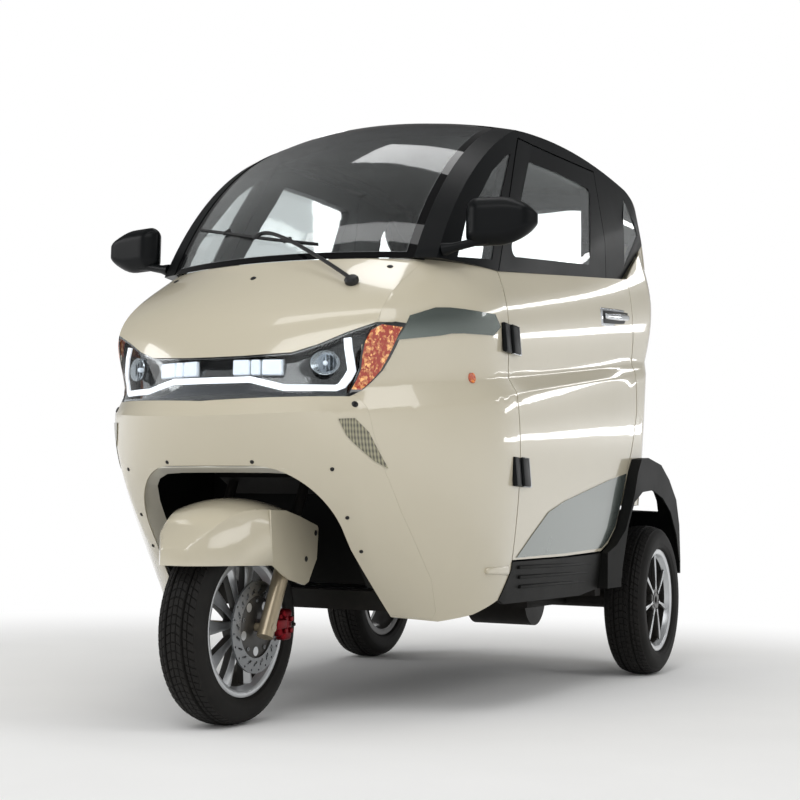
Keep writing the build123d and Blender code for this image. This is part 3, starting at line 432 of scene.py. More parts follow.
(ay, az), (by, bz), (cy, cz), (dy, dz) = REAR_PANE
for way in (-1, 1):
    pane = bmesh.new()
    bmesh.ops.create_grid(pane, x_segments=9, y_segments=9, size=1.0)
    for vert in pane.verts:
        u, v = (vert.co.x + 1) / 2, (vert.co.y + 1) / 2
        y = (ay * (1 - u) + by * u) * (1 - v) + (dy * (1 - u) + cy * u) * v
        z = (az * (1 - u) + bz * u) * (1 - v) + (dz * (1 - u) + cz * u) * v
        y, z = y + (PANE_MIDDLE[0] - y) * PANE_GAP, z + (PANE_MIDDLE[1] - z) * PANE_GAP
        lean = PANE_LEAN * max(0.0, (z - PANE_MIDDLE[1]) / PANE_RISE) ** 2
        vert.co = place_of(way * (PANE_X - lean), y, z)
    joined(quarter, faced(pane, (way, 0, 0), PANE_WALL))
finished(quarter, "quarter_panes", [pane_glass], "body", "clear_glazing", "quarter_glass")


# Tyres: a moulded carcass turned about the axle, with diagonal blocks in the tread and plain side walls.
# Vulcanised rubber, matt, paler where road dust sits. Three tyres, two sizes.
rubber = finish("vulcanised_tyre_rubber", "0A0A0B", "121213", 0.66, 0.1, 0.0018, 0.0001, patch=9.0, dust=0.06,
                **{"Specular IOR Level": 0.25})
BEAD = 159.4


def tyre(name, node, body, radius, width, middle):
    """A tyre from its outer radius and width in millimetres, turned and then cut into tread blocks"""
    half = width / 2
    wall = [(0.72, BEAD), (0.725, 167), (0.82, 171), (0.9, 174), (0.955, 181), (0.965, 184), (0.985, 186), (1, 196),
            (1, radius - 38), (0.985, radius - 33), (0.94, radius - 25), (0.89, radius - 19), (0.8, radius - 13)]
    crown = [(0.56, radius - 7.4), (0.41, radius - 4.6), (0.39, radius - 8), (0.35, radius - 8), (0.33, radius - 3.2),
             (0.11, radius - 2.6)]
    out = [(half * share, r) for share, r in wall + crown]
    inside = [(half * 0.5, radius - 24), (half * 0.5, BEAD)]
    around = out + [(-x, r) for x, r in reversed(out)] + [(-x, r) for x, r in reversed(inside)] + inside
    mesh = turned(around, 72, True)
    # The grooves sweep back by up to 9 degrees towards the shoulders
    for vert in mesh.verts:
        reach = math.hypot(vert.co.y, vert.co.z)
        if reach > (radius - 14) / 1000 and abs(vert.co.x) < half * 0.82 / 1000:
            sweep = Matrix.Rotation(math.radians(9) * abs(vert.co.x) * 1000 / half, 4, "X")
            vert.co = sweep @ vert.co
    tread = []
    for face in mesh.faces:
        spot = face.calc_center_median()
        share = abs(spot.x) * 1000 / half
        reach = math.hypot(spot.y, spot.z) * 1000
        if reach > radius - 13 and (share < 0.34 or 0.41 < share < 0.8) and abs(face.normal.x) < 0.75:
            tread.append(face)
    bmesh.ops.inset_individual(mesh, faces=tread, thickness=0.0017, depth=0.0026, use_even_offset=True)
    bmesh.ops.transform(mesh, matrix=Matrix.Translation(middle), verts=mesh.verts)
    finished(mesh, name, [rubber], body, "tyre_rubber", node, crease=28)


FRONT_HUB = place_of(0, 0, 236)
REAR_HUB = {"left": place_of(515, 1740, 247), "right": place_of(-515, 1740, 247)}
tyre("front_tyre_tread", "front_tyre", "front_wheel", 236, 120, FRONT_HUB)
for side, hub in REAR_HUB.items():
    tyre("rear_tyre_tread_" + side, "rear_tyre_" + side, "rear_wheel_" + side, 247, 135, hub)


# Rims: gravity cast aluminium with machined bright faces and lips and dark lacquer in the pockets.
# The front one has five pairs of curved spokes, the rear ones seven forked spokes.
def spoke(low, high, root, tip, sweep, back, face, steps=8):
    """One spoke along Z, from radius low to high, with a bright face and dark flanks; sweep bends it sideways"""
    mesh = bmesh.new()
    bmesh.ops.create_grid(mesh, x_segments=6, y_segments=steps, size=1.0)
    for vert in mesh.verts:
        along = (vert.co.y + 1) / 2
        width = root + (tip - root) * along ** 1.6
        bend = sweep * math.sin(along * math.pi / 2)
        across = vert.co.x * width / 2 + bend
        crest = face + 0.2 * width * (1 - vert.co.x ** 2) - 5 * along * along
        vert.co = Vector((crest, across, low + (high - low) * along)) / 1000
    faced(mesh, (1, 0, 0))
    bright_faces = set(mesh.faces)
    for vert in bmesh.ops.extrude_face_region(mesh, geom=list(mesh.faces))["geom"]:
        if isinstance(vert, bmesh.types.BMVert):
            vert.co.x = back / 1000
    for side_of in mesh.faces:
        side_of.material_index = 0 if side_of in bright_faces else 1
    bmesh.ops.recalc_face_normals(mesh, faces=mesh.faces)
    edges = [e for e in mesh.edges if {f in bright_faces for f in e.link_faces} == {True, False}]
    bmesh.ops.bevel(mesh, geom=edges, affect="EDGES", offset=0.0012, offset_type="OFFSET", segments=2, profile=0.5,
                    material=-1, clamp_overlap=True)
    return mesh


bright = finish("machined_aluminium", "C6C9CC", "DADCDE", 0.3, 0.06, 0.0012, 0.00003, patch=25.0, dust=0.04,
                Metallic=0.7, **{"Coat Weight": 0.6})
pocket = finish("dark_rim_lacquer", "121314", "1D1E20", 0.35, 0.08, 0.003, 0.00005, patch=12.0, dust=0.15,
                **{"Coat Weight": 0.3})
BEAD_SEAT = 0.36  # the bead seats stand at this share of the tyre's width from its middle


def barrel(width):
    """The outline of a rim's ring, with its bead seats, well and lips"""
    half = width * BEAD_SEAT
    return [(half + 0.3, 158.7), (half + 0.3, 168.4), (half + 2, 169), (half + 5, 168.6), (half + 6, 166),
            (half + 5.4, 160), (half + 2, 153), (half - 8, 148), (half - 14, 143.5), (-half + 14, 142),
            (-half - 3, 146), (-half - 6, 152), (-half - 6, 167), (-half - 4.5, 169), (-half - 0.3, 168.6),
            (-half - 0.3, 158.7)]


def rim(name, node, body, width, hub_face, hub_depth, hub_r, spokes, place):
    """A cast rim: a ring, a hub and sets of spokes, each with its number, its first angle and what spoke takes"""
    mesh = bmesh.new()
    ring = turned(barrel(width), 96, True)
    for face in ring.faces:
        face.material_index = 0 if face.calc_center_median().x > width * BEAD_SEAT * 0.7 / 1000 else 1
    joined(mesh, ring)
    hub_back = hub_face - hub_depth
    hub = turned([(hub_back, 11), (hub_back, hub_r), (hub_face - 5, hub_r), (hub_face - 2, hub_r - 2),
                  (hub_face - 2, 26), (hub_face, 24), (hub_face, 14), (hub_face - 3, 11)], 48, True)
    joined(mesh, hub, skin=1)
    for count, start, *shape in spokes:
        for i in range(count):
            turn = Matrix.Rotation(math.tau * i / count + math.radians(start), 4, "X")
            joined(mesh, spoke(*shape), turn)
    bmesh.ops.transform(mesh, matrix=place, verts=mesh.verts)
    finished(mesh, name, [bright, pocket], body, "cast_aluminium", node, crease=30)


# Number and first angle, inner and outer radius, width at hub and rim, sweep, back and face of the spokes
pair = [(5, -11, 38, 149, 17, 44, 14, 10, 30), (5, 11, 38, 149, 17, 44, -14, 10, 30)]
rim("front_rim_casting", "front_rim", "front_wheel", 120, 30, 24, 44, pair, Matrix.Translation(FRONT_HUB))
fork_spokes = [(7, -5, 34, 150, 7, 9, -15, 30, 46), (7, 5, 34, 150, 7, 9, 15, 30, 46)]
for side, hub in REAR_HUB.items():
    facing = Matrix.Diagonal((1 if side == "left" else -1, 1, 1, 1))
    rim("rear_rim_casting_" + side, "rear_rim_" + side, "rear_wheel_" + side, 135, 46, 30, 42, fork_spokes,
        Matrix.Translation(hub) @ facing)

# Front brake disc: a steel rotor drilled in three staggered rows, on a black spider bolted to the hub.
# The rotor's faces are ground, with fine turning marks.
steel = finish("ground_brake_steel", "7E8082", "96989A", 0.3, 0.06, 0.0009, 0.00004, patch=30.0, Metallic=1.0)
DISC_FACE, DISC_STEPS, DISC_WALL = 73.5, 120, 0.005
DISC_RINGS = [74, 79, 83, 87, 91, 95, 99, 103, 107, 110]
HOLE_ROWS, HOLE_RADIUS = (83, 91, 103), 0.0029
rotor = turned([(DISC_FACE, radius) for radius in DISC_RINGS], DISC_STEPS)
drilled = []
for vert in rotor.verts:
    reach = math.hypot(vert.co.y, vert.co.z) * 1000
    step = round(math.degrees(math.atan2(vert.co.y, vert.co.z)) * DISC_STEPS / 360)
    for row, radius in enumerate(HOLE_ROWS):
        if abs(reach - radius) < 0.5 and step % 6 == row * 2:
            drilled.append(vert)
centres = [vert.co.copy() for vert in drilled]
bmesh.ops.dissolve_verts(rotor, verts=drilled)
holes = [f for f in rotor.faces if len(f.verts) > 4]
for face in holes:
    middle = min(centres, key=lambda c: (c - face.calc_center_median()).length)
    for vert in face.verts:
        vert.co = middle + (vert.co - middle).normalized() * HOLE_RADIUS
bmesh.ops.delete(rotor, geom=holes, context="FACES_ONLY")
bmesh.ops.recalc_face_normals(rotor, faces=rotor.faces)
bmesh.ops.solidify(rotor, geom=list(rotor.faces), thickness=DISC_WALL)
low_x = min(v.co.x for v in rotor.verts)
bmesh.ops.translate(rotor, vec=(DISC_FACE / 1000 - low_x, 0, 0), verts=rotor.verts)
spider = turned([(70.5, 22), (70.5, 80), (74.4, 80), (75.4, 78), (75.4, 40), (76, 36), (76, 12), (30.6, 12),
                 (30.6, 37), (66, 37)], 60, True)
joined(rotor, spider, skin=1)
for i in range(5):
    turn = Matrix.Rotation(math.tau * (i + 0.5) / 5, 4, "X")
    opening = turned([(70.2, 0), (70.2, 11), (75.8, 11), (75.8, 0)], 20)
    joined(rotor, opening, turn @ Matrix.Translation((0, 0, 0.058)), skin=2)
    bolt = turned([(74, 0), (74, 5.5), (77.6, 5.5), (78.4, 4.6), (78.4, 2.8), (76.8, 2.4), (76.8, 0)], 6)
    joined(rotor, bolt, Matrix.Rotation(math.tau * i / 5, 4, "X") @ Matrix.Translation((0, 0, 0.062)), skin=0)
bmesh.ops.transform(rotor, matrix=Matrix.Translation(FRONT_HUB), verts=rotor.verts)
finished(rotor, "drilled_brake_disc", [steel, pocket, bright], "front_wheel", "brake_steel", "front_disc")

# Headlamp: a clear polycarbonate cover over a black gloss housing that runs across the nose.
# Inside stand a white light guide, three lamp blocks a side and a round reflector behind five fins.
clear_cover = tinted("clear_polycarbonate", "F4F7F8", 3.0, *NO_PRINT)
cover_shader = next(n for n in clear_cover.node_tree.nodes if n.type == "BSDF_PRINCIPLED")
cover_shader.inputs["IOR"].default_value = 1.15
piano = finish("piano_black_housing", "0B0C0E", "131517", 0.12, 0.03, 0.01, 0.00002, **{"Coat Weight": 1.0})
dressed("headlamp_lens", clear_cover, "lamp_lens", 25)
dressed("headlamp_housing", piano, "lamp_housing")
guide_white = finish("lit_light_guide", "F6F8FC", "FFFFFF", 0.3, 0.05, 0.004, 0.00003,
                     **{"Emission Color": linear("F4F8FF"), "Emission Strength": 0.75})

NOSE = sides_of("headlamp_lens", "front_side_panels", "front_fascia", "bonnet")
NOSE_BACK = -0.7  # what a line from the front meets behind this isn't the nose


def face_y(x, z):
    """How far back the nose's face lies at a place seen from the front, in millimetres, or None beside it"""
    spot = NOSE.ray_cast(Vector((x / 1000, -2, z / 1000)), Vector((0, 1, 0)))[0]
    return spot.y * 1000 + AXLE_TO_ORIGIN if spot and spot.y < NOSE_BACK else None


def bridged(probe, at, steps):
    """What a probe finds at a place, or in a gap what lies between its nearest finds on both sides"""
    ends = [next(((s, probe(at + s * way)) for s in steps if probe(at + s * way) is not None), None)
            for way in (-1, 1)]
    # A side without a find takes the other side's
    (a, near), (b, far) = [end or (1e6, (ends[0] or ends[1])[1]) for end in ends]
    return near if a + b == 0 else (near * b + far * a) / (a + b)


def skin_y(x, z):
    """How far back the nose's face lies, with its small gaps bridged"""
    return bridged(lambda at: face_y(at, z), x, range(60))


def sheet_through(rows):
    """An open sheet through rows of places: a grid whose points are moved there"""
    mesh = bmesh.new()
    bmesh.ops.create_grid(mesh, x_segments=len(rows[0]) - 1, y_segments=len(rows) - 1, size=1.0)
    for vert, spot in zip(mesh.verts, [spot for row in rows for spot in row]):
        vert.co = spot
    return mesh


GUIDE_LINE = [(0, 819), (60, 819), (108, 820), (150, 810), (192, 800), (250, 801), (296, 802), (306, 808), (316, 827),
              (324, 845), (322, 868), (318, 896), (314, 922)]
GUIDE_HALF, GUIDE_DEPTH = 7.5, 6.5
guide = bmesh.new()
for way in (-1, 1):
    rows = []
    for i, (x, z) in enumerate(GUIDE_LINE):
        before, after = GUIDE_LINE[max(i - 1, 0)], GUIDE_LINE[min(i + 1, len(GUIDE_LINE) - 1)]
        along = Vector((after[0] - before[0], after[1] - before[1])).normalized()
        rows.append([])
        for edge in (-GUIDE_HALF, GUIDE_HALF):
            px, pz = x - along.y * edge * (0 if i == 0 else 1), z + along.x * edge
            rows[-1].append(place_of(way * px, skin_y(abs(px), pz) + GUIDE_DEPTH, pz))
    strip = sheet_through(rows)
    bmesh.ops.recalc_face_normals(strip, faces=strip.faces)
    back = bmesh.ops.extrude_face_region(strip, geom=list(strip.faces))["geom"]
    bmesh.ops.translate(strip, vec=(0, 0.006, 0), verts=[g for g in back if isinstance(g, bmesh.types.BMVert)])
    bmesh.ops.recalc_face_normals(strip, faces=strip.faces)
    joined(guide, strip)
finished(guide, "light_guide", [guide_white], "body", "light_guide", "light_strip")
chromed = finish("vacuum_metallised_reflector", "8F9498", "B4B9BE", 0.14, 0.05, 0.004, 0.0002, patch=30.0,
                 Metallic=1.0)
module_glass = finish("frosted_lamp_module", "DCE6F0", "F7FAFD", 0.15, 0.05, 0.003, 0.0001, patch=40.0,
                      **{"Emission Color": linear("E8F1FF"), "Emission Strength": 0.35, "Coat Weight": 1.0})
NOSE_FRONT, NOSE_CURVE = -113, 0.00091  # its middle, and how it falls back with the square of x


def behind_nose(x, depth, z, aside=0):
    """The move to so far behind the curved face of the nose, square to it"""
    nose = NOSE_FRONT + x * x * NOSE_CURVE
    return to_place(x + aside, nose + depth, z) @ Matrix.Rotation(math.atan(2 * NOSE_CURVE * x), 4, "Z")


lamps = bmesh.new()
for side in (-1, 1):
    for inner, outer in ((50, 92), (96, 118), (122, 172)):
        x = side * (inner + outer) / 2
        joined(lamps, block((outer - inner, 18, 37), 4), behind_nose(x, 22, 851), skin=0)
        joined(lamps, block((outer - inner + 5, 12, 42), 3), behind_nose(x, 27, 851), skin=1)
    bowl = turned([(0, 3), (2, 10), (8, 19), (17, 26), (19, 29), (17, 30), (6, 22), (-3, 10), (-3, 3)], 40, True)
    x = side * 262
    spot = behind_nose(x, 28, 862) @ Matrix.Rotation(math.radians(-90), 4, "Z")
    joined(lamps, bowl, spot @ Matrix.Diagonal((1, 1.2, 1, 1)), skin=1)
    bulb = turned([(2, 0), (2, 6), (12, 6), (15, 4), (16, 0)], 20)
    joined(lamps, bulb, spot, skin=0)
    for fin in (-16, -8, 0, 8, 16):
        joined(lamps, block((2, 16, 54), 0.9, 1), behind_nose(x, 27 + abs(fin) / 4, 864, side * 4 + fin), skin=1)
finished(lamps, "headlamp_modules", [module_glass, chromed], "body", "lamp_housing")

# Corner panels beside the headlamp: they close the nose between the lamp's outer end and the bonnet.
# Lacquered ABS like the panels around them, bonded in behind the turn lamps.
PANEL_WALL = 0.003
filler = bmesh.new()
for way in (-1, 1):
    sheet = sheet_through([[place_of(way * x, skin_y(x, z) + 1.5, z) for x in range(348, 397, 8)]
                           for z in range(834, 907, 9)])
    joined(filler, faced(sheet, (0, -1, 0), PANEL_WALL))
finished(filler, "lamp_corner_panels", [pearl], "body", "cream_paint")


# Turn lamps, side markers, corner lenses and tail lamps: moulded acrylic in amber, clear and red.
# Prisms of 4 to 8 mm on the inside; their sparkle is painted, each cell in its own tone up to a pale painted glint;
# the corner lenses are ribbed.
def prismatic(name, deep, glint_colour, cell, glow, **sockets):
    """Acrylic with prism cells of that size in metres, each in its own tone from deep to a pale painted glint"""
    made, tree = new_material(name)
    place = add(tree, "TexCoord").outputs["Object"]
    cells = add(tree, "TexVoronoi", {"Vector": place, "Scale": 1.0 / cell}, feature="F1")
    # Painted glints: cells in the pale colour stand for highlights on the prisms, and the emission makes them glow
    painted_glint = add(tree, "TexNoise", {"Vector": cells.outputs["Position"], "Scale": 91.0, "Detail": 2.0}).outputs["Fac"]
    level = add(tree, "MapRange", {"Value": painted_glint, "From Min": 0.5, "From Max": 0.68}).outputs[0]
    tone = add(tree, "Mix", {0: level, 6: linear(deep), 7: linear(glint_colour)}, data_type="RGBA").outputs[2]
    bump = add(tree, "Bump", {"Height": cells.outputs["Distance"], "Strength": 0.6, "Distance": 0.002}).outputs[0]
    shader = add(tree, "BsdfPrincipled", {"Base Color": tone, "Roughness": 0.12, "Normal": bump, "Coat Weight": 1.0,
                                          "Emission Color": tone, "Emission Strength": glow, **sockets})
    add(tree, "OutputMaterial", {"Surface": shader.outputs[0]})
    return made


amber = prismatic("amber_acrylic_prisms", "962604", "FFC47A", 0.0045, 0.3)
CLUSTER = [(784, 322, 331), (800, 326, 344), (822, 332, 357), (850, 341, 373), (880, 346, 386), (912, 352, 398),
           (940, 362, 406), (957, 378, 410), (968, 398, 412)]
CLUSTER_COLUMNS = 12
clusters = bmesh.new()
for way in (-1, 1):
    rows = []
    for z, x_in, x_out in CLUSTER:
        line = [x_in + (x_out - x_in) * i / CLUSTER_COLUMNS for i in range(CLUSTER_COLUMNS + 1)]
        rows.append([place_of(way * x, skin_y(x, z), z) for x in line])
    patch = sheet_through(rows)
    for i, face in enumerate(patch.faces):
        row, column = divmod(i, CLUSTER_COLUMNS)
        face.material_index = 1 if column in (0, CLUSTER_COLUMNS - 1) or row in (0, len(CLUSTER) - 2) else 0
    faced(patch, (0, -1, 0))
    bmesh.ops.subdivide_edges(patch, edges=list(patch.edges), cuts=1, use_grid_fill=True)
    bmesh.ops.smooth_vert(patch, verts=[v for v in patch.verts if not v.is_boundary], factor=0.5, use_axis_y=True)
    patch.normal_update()
    for vert in patch.verts:
        vert.co += vert.normal * 0.0012
    bmesh.ops.solidify(patch, geom=list(patch.faces), thickness=PANEL_WALL)
    joined(clusters, patch)
finished(clusters, "turn_lamp_clusters", [amber, piano], "body", "amber_lens", "turn_lamps")
dressed("side_markers", prismatic("amber_marker_lens", "B5420A", "F08A28", 0.004, 0.1), "amber_lens")
dressed("tail_lamps", prismatic("red_acrylic_prisms", "5A0408", "B01018", 0.008, 0.05), "red_lens")
ribbed, tree = new_material("ribbed_clear_lens")
place = add(tree, "TexCoord").outputs["Object"]
# Ribs 5 mm apart, crossed by waves of 14 mm
ribs, cross = (add(tree, "TexWave", {"Vector": place, "Scale": scale, "Distortion": 0.3}, wave_type="BANDS",
                   bands_direction=axis).outputs["Fac"] for scale, axis in ((62.0, "X"), (22.0, "Z")))
weave = add(tree, "Mix", {0: 0.3, 2: ribs, 3: cross}).outputs[0]
tone = add(tree, "Mix", {0: weave, 6: linear("3B382B"), 7: linear("A8A384")}, data_type="RGBA").outputs[2]
bump = add(tree, "Bump", {"Height": weave, "Strength": 0.7, "Distance": 0.0015}).outputs[0]
lens_shader = add(tree, "BsdfPrincipled", {"Base Color": tone, "Roughness": 0.15, "Normal": bump,
                                           "Coat Weight": 1.0})
add(tree, "OutputMaterial", {"Surface": lens_shader.outputs[0]})
dressed("corner_lamps", ribbed, "lamp_lens")

# Mirrors: satin black pods on short arms from the foot of the screen pillars, with silvered glass behind.
# Injection moulded shells, screwed to the door corner.
mirror_glass = finish("silvered_mirror_glass", "C4C8CB", "D4D7DA", 0.03, 0.01, 0.02, 0.00001, Metallic=1.0)
ARM_FOOT, ARM_HEAD = place_of(418, 290, 1180), place_of(532, 312, 1204)
POD_SIZE = (184, 62, 124)


def aimed(spot, way):
    """The move that sets a turned shape at a place, with its axis along a direction"""
    return Matrix.Translation(spot) @ way.to_track_quat("X", "Z").to_matrix().to_4x4()


mirror_pods = bmesh.new()
for side in (-1, 1):
    flip = Matrix.Diagonal((side, 1, 1, 1))
    pod = block(POD_SIZE, 29, 8)
    bmesh.ops.subdivide_edges(pod, edges=[e for e in pod.edges if e.calc_length() > 0.04], cuts=8, use_grid_fill=True)
    # The pod narrows ahead of its glass and tapers towards its outer end
    for vert in pod.verts:
        front = max(0.0, -vert.co.y / (POD_SIZE[1] / 2000))
        vert.co.x *= 1 - 0.14 * front
        vert.co.z *= 1 - 0.16 * front
        tip = max(0.0, (vert.co.x + 0.004) / 0.096)
        vert.co.z = vert.co.z * (1 - 0.72 * tip ** 1.9) + 0.002 * tip
    back = [f for f in pod.faces if f.normal.y > 0.9 and f.calc_area() > 0.004]
    bmesh.ops.inset_region(pod, faces=back, thickness=0.006, depth=0)
    bmesh.ops.inset_region(pod, faces=back, thickness=0.001, depth=-0.004)
    for face in back:
        face.material_index = 1
    joined(mirror_pods, pod, flip @ to_place(565, 322, 1250) @ Matrix.Rotation(math.radians(10), 4, "Z"))
    reach = (ARM_HEAD - ARM_FOOT).length * 1000
    arm = turned([(0, 0), (0, 17), (6, 17), (30, 12), (90, 10), (reach, 14), (reach, 0)], 24)
    joined(mirror_pods, arm, flip @ aimed(ARM_FOOT, ARM_HEAD - ARM_FOOT), skin=0)
finished(mirror_pods, "door_mirrors", [satin, mirror_glass], "body", "black_plastic", "mirrors")


# Wiper: a pressed steel arm in black powder coat on a capped pivot, with a jointed blade and rubber lip.
# The arm is sprung towards the glass.
def tube(points, radius):
    """A smooth round bar through the points, in millimetres"""
    line = bpy.data.curves.new("line", "CURVE")
    line.dimensions = "3D"
    line.bevel_depth = radius / 1000
    line.bevel_resolution = 3
    line.use_fill_caps = True
    spline = line.splines.new("NURBS")
    spline.points.add(len(points) - 1)
    for point, spot in zip(spline.points, points):
        point.co = (*place_of(*spot), 1)
    spline.order_u = 3
    spline.use_endpoint_u = True
    spline.resolution_u = 8
    holder = bpy.data.objects.new("line", line)
    data = bpy.data.meshes.new_from_object(holder)
    mesh = bmesh.new()
    mesh.from_mesh(data)
    bpy.data.objects.remove(holder)
    bpy.data.curves.remove(line)
    bpy.data.meshes.remove(data)
    return mesh


powder = finish("black_powder_coat", "101112", "1A1B1C", 0.42, 0.06, 0.0016, 0.00008)
wiper = bmesh.new()
joined(wiper, tube([(269, 84, 1082), (220, 100, 1112), (151, 125, 1152), (44, 157, 1210), (-50, 192, 1246),
                    (-69, 189, 1234)], 5.2), skin=0)
blade_line = [(-318, 288, 1288), (-200, 241, 1261), (-69, 186, 1229), (36, 166, 1208), (123, 172, 1195)]
joined(wiper, tube(blade_line, 3.4), skin=0)
joined(wiper, tube([(x, y + 2.5, z - 3.5) for x, y, z in blade_line], 2.0), skin=1)
for x, y, z in blade_line[1:4]:
    joined(wiper, block((26, 8, 9), 2.5, 2), to_place(x, y - 1, z + 2) @ Matrix.Rotation(math.radians(-22), 4, "Y"),
           skin=0)
pivot = place_of(263, 125, 1030)
cap = turned([(0, 0), (0, 14), (52, 14), (58, 18), (66, 18), (71, 14), (73, 0)], 28)
joined(wiper, cap, aimed(pivot, place_of(269, 80, 1088) - pivot), skin=0)
finished(wiper, "windscreen_wiper", [powder, rubber], "body", "black_plastic", "wiper")

# Door handles and hinge covers: a chromed bar over a dark cup, and black covers with a chromed edge.
# Die-cast and chrome plated. The covers stand on the hinge line, on the door and on the cab beside it.
chrome = finish("chrome_plate", "BFC2C5", "D2D5D8", 0.08, 0.03, 0.004, 0.00003, patch=20.0, Metallic=1.0)
HANDLE_Y, HANDLE_Z, HALF_BAR = 1437, 1163, 0.118
HANDLE_RISE, HANDLE_RUN = 26, 238  # it rises towards the tail
HINGE_COVERS = [(504, 941, 1022), (536, 588, 668)]  # how far out each is, and its foot and head
HINGE_TIP = Matrix.Rotation(math.radians(-5.5), 4, "Y")
for side, way in (("left", 1), ("right", -1)):
    flip = Matrix.Diagonal((way, 1, 1, 1))
    fittings = bmesh.new()
    bar = block((13, 240, 24), 6, 4)
    bmesh.ops.bisect_plane(bar, geom=bar.verts[:] + bar.edges[:] + bar.faces[:], plane_co=(0, 0, 0),
                           plane_no=(0, 1, 0))
    for vert in bar.verts:
        vert.co.x += 0.006 * (1 - (vert.co.y / HALF_BAR) ** 2)
        vert.co.z *= 1 - 0.25 * (vert.co.y / HALF_BAR) ** 2
    rake = Matrix.Rotation(math.atan2(HANDLE_RISE, HANDLE_RUN), 4, "X")
    bezel, cup = block((8, 288, 58), 3.9, 4), block((8, 262, 42), 3.9, 4)
    for part, x, z, skin in ((bar, 517, HANDLE_Z, 0), (bezel, 508.5, HANDLE_Z - 2, 0), (cup, 510, HANDLE_Z - 2, 1)):
        joined(fittings, part, flip @ to_place(x, HANDLE_Y, z) @ rake, skin=skin)
    for end in (-108, 108):
        post = to_place(503, HANDLE_Y + end, HANDLE_Z + end * HANDLE_RISE / HANDLE_RUN)
        joined(fittings, block((18, 17, 17), 4, 2), flip @ post, skin=0)
    for x, low, high in HINGE_COVERS:
        cover = flip @ to_place(x, 579, (low + high) / 2) @ HINGE_TIP
        joined(fittings, block((12, 57, high - low), 2.5), cover, skin=0)
        joined(fittings, block((17, 51, high - low - 3), 5), cover @ Matrix.Translation((0.001, -0.0085, 0)), skin=1)
    finished(fittings, "door_fittings_set_" + side, [chrome, satin], "side_door_" + side, "chrome_trim",
             "door_fittings_" + side)
covers = bmesh.new()
for way in (-1, 1):
    flip = Matrix.Diagonal((way, 1, 1, 1))
    for x, low, high in HINGE_COVERS:
        tip = HINGE_TIP @ Matrix.Rotation(math.radians(3), 4, "Z")
        cover = flip @ to_place(x - 0.5, 519, (low + high) / 2) @ tip
        joined(covers, block((13, 46, high - low - 3), 4), cover, skin=1)
finished(covers, "cab_hinge_covers", [chrome, satin], "body", "chrome_trim")


# Seats: foam pads under stitched synthetic leather on boxed bases. Crowned squabs and backrests whose
# sides pull in between the corners, with sewn channels; shaped by moving a fine grid, not by simulation.
leather, tree = new_material("black_synthetic_leather")
hide = add(tree, "TexCoord").outputs["Object"]
# Pebbles of 2.4 mm, coarser than real grain so that they show, over soft folds of about 70 mm
pebble = add(tree, "TexVoronoi", {"Vector": hide, "Scale": 420.0}, feature="SMOOTH_F1").outputs["Distance"]
fold = add(tree, "TexNoise", {"Vector": hide, "Scale": 14.0, "Detail": 6.0}).outputs["Fac"]
tone = add(tree, "Mix", {0: fold, 6: linear("1A1A1B"), 7: linear("2B2B2C")}, data_type="RGBA").outputs[2]
rise_of = add(tree, "Math", {0: fold, 1: pebble}, operation="ADD").outputs[0]
bump = add(tree, "Bump", {"Height": rise_of, "Strength": 0.5, "Distance": 0.0008}).outputs[0]
skin_shader = add(tree, "BsdfPrincipled", {"Base Color": tone, "Roughness": 0.48, "Normal": bump,
                                           "Sheen Weight": 0.1})
add(tree, "OutputMaterial", {"Surface": skin_shader.outputs[0]})
SIDE_PULL, SEAM_WIDTH, SEAM_DEPTH, CROSS_SEAM = 0.007, 0.008, 0.007, 0.62


def seat_pad(node, crown, channels, lean=0.0, upright=False):
    """A foam pad in the space of its CAD solid; channels are shares of its half width"""
    low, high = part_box(node)
    foot = high.y - low.y - lean * (high.z - low.z) if upright else 0
    mesh = bmesh.new()
    bmesh.ops.create_cube(mesh, size=2.0)
    bmesh.ops.subdivide_edges(mesh, edges=mesh.edges, cuts=39, use_grid_fill=True)
    depth = (foot if upright else high.y - low.y) / 2 - 0.002
    half = Vector(((high.x - low.x) / 2 - 0.003, depth, (high.z - low.z) / 2 - 0.002 - (0 if upright else crown / 2)))
    radius = min(half) * 0.55
    for vert in mesh.verts:
        share = vert.co.copy()
        spot = Vector([share[i] * half[i] for i in range(3)])
        core = Vector([max(-half[i] + radius, min(half[i] - radius, spot[i])) for i in range(3)])
        off = spot - core
        if off.length > 1e-9:
            spot = core + off.normalized() * radius
        long = share.z if upright else share.y
        pull = SIDE_PULL * (1 - long * long) * abs(share.x) ** 6
        spot.x -= math.copysign(pull, spot.x)
        dome = (1 - share.x ** 4) * (1 - long ** 4)
        sew = sum(math.exp(-((share.x - c) * half.x / SEAM_WIDTH) ** 2) for c in channels)
        cross = math.exp(-((long - CROSS_SEAM) * (half.z if upright else half.y) / SEAM_WIDTH) ** 2)
        dip = min(1.0, sew + cross) * SEAM_DEPTH
        if upright:
            spot.y -= (crown * dome - dip) * max(0.0, -share.y) - crown * 0.5
            spot.y += lean * (spot.z + half.z) - lean * half.z
        else:
            spot.z += (crown * dome - dip) * max(0.0, share.z) - crown / 2
        vert.co = spot
    middle = (low + high) / 2
    bmesh.ops.transform(mesh, matrix=Matrix.Translation(middle), verts=mesh.verts)
    made = finished(mesh, node + "_pad", [leather], "body", "seat_cover", node, crease=60)
    smooth = made.modifiers.new("smooth", "SUBSURF")
    smooth.levels = smooth.render_levels = 1


for row, seams in (("driver", (-0.45, 0.45)), ("rear", (-0.55, 0.0, 0.55))):
    seat_pad(row + "_cushion", 0.014, seams)
    seat_pad(row + "_backrest", 0.012, seams, lean=0.2, upright=True)
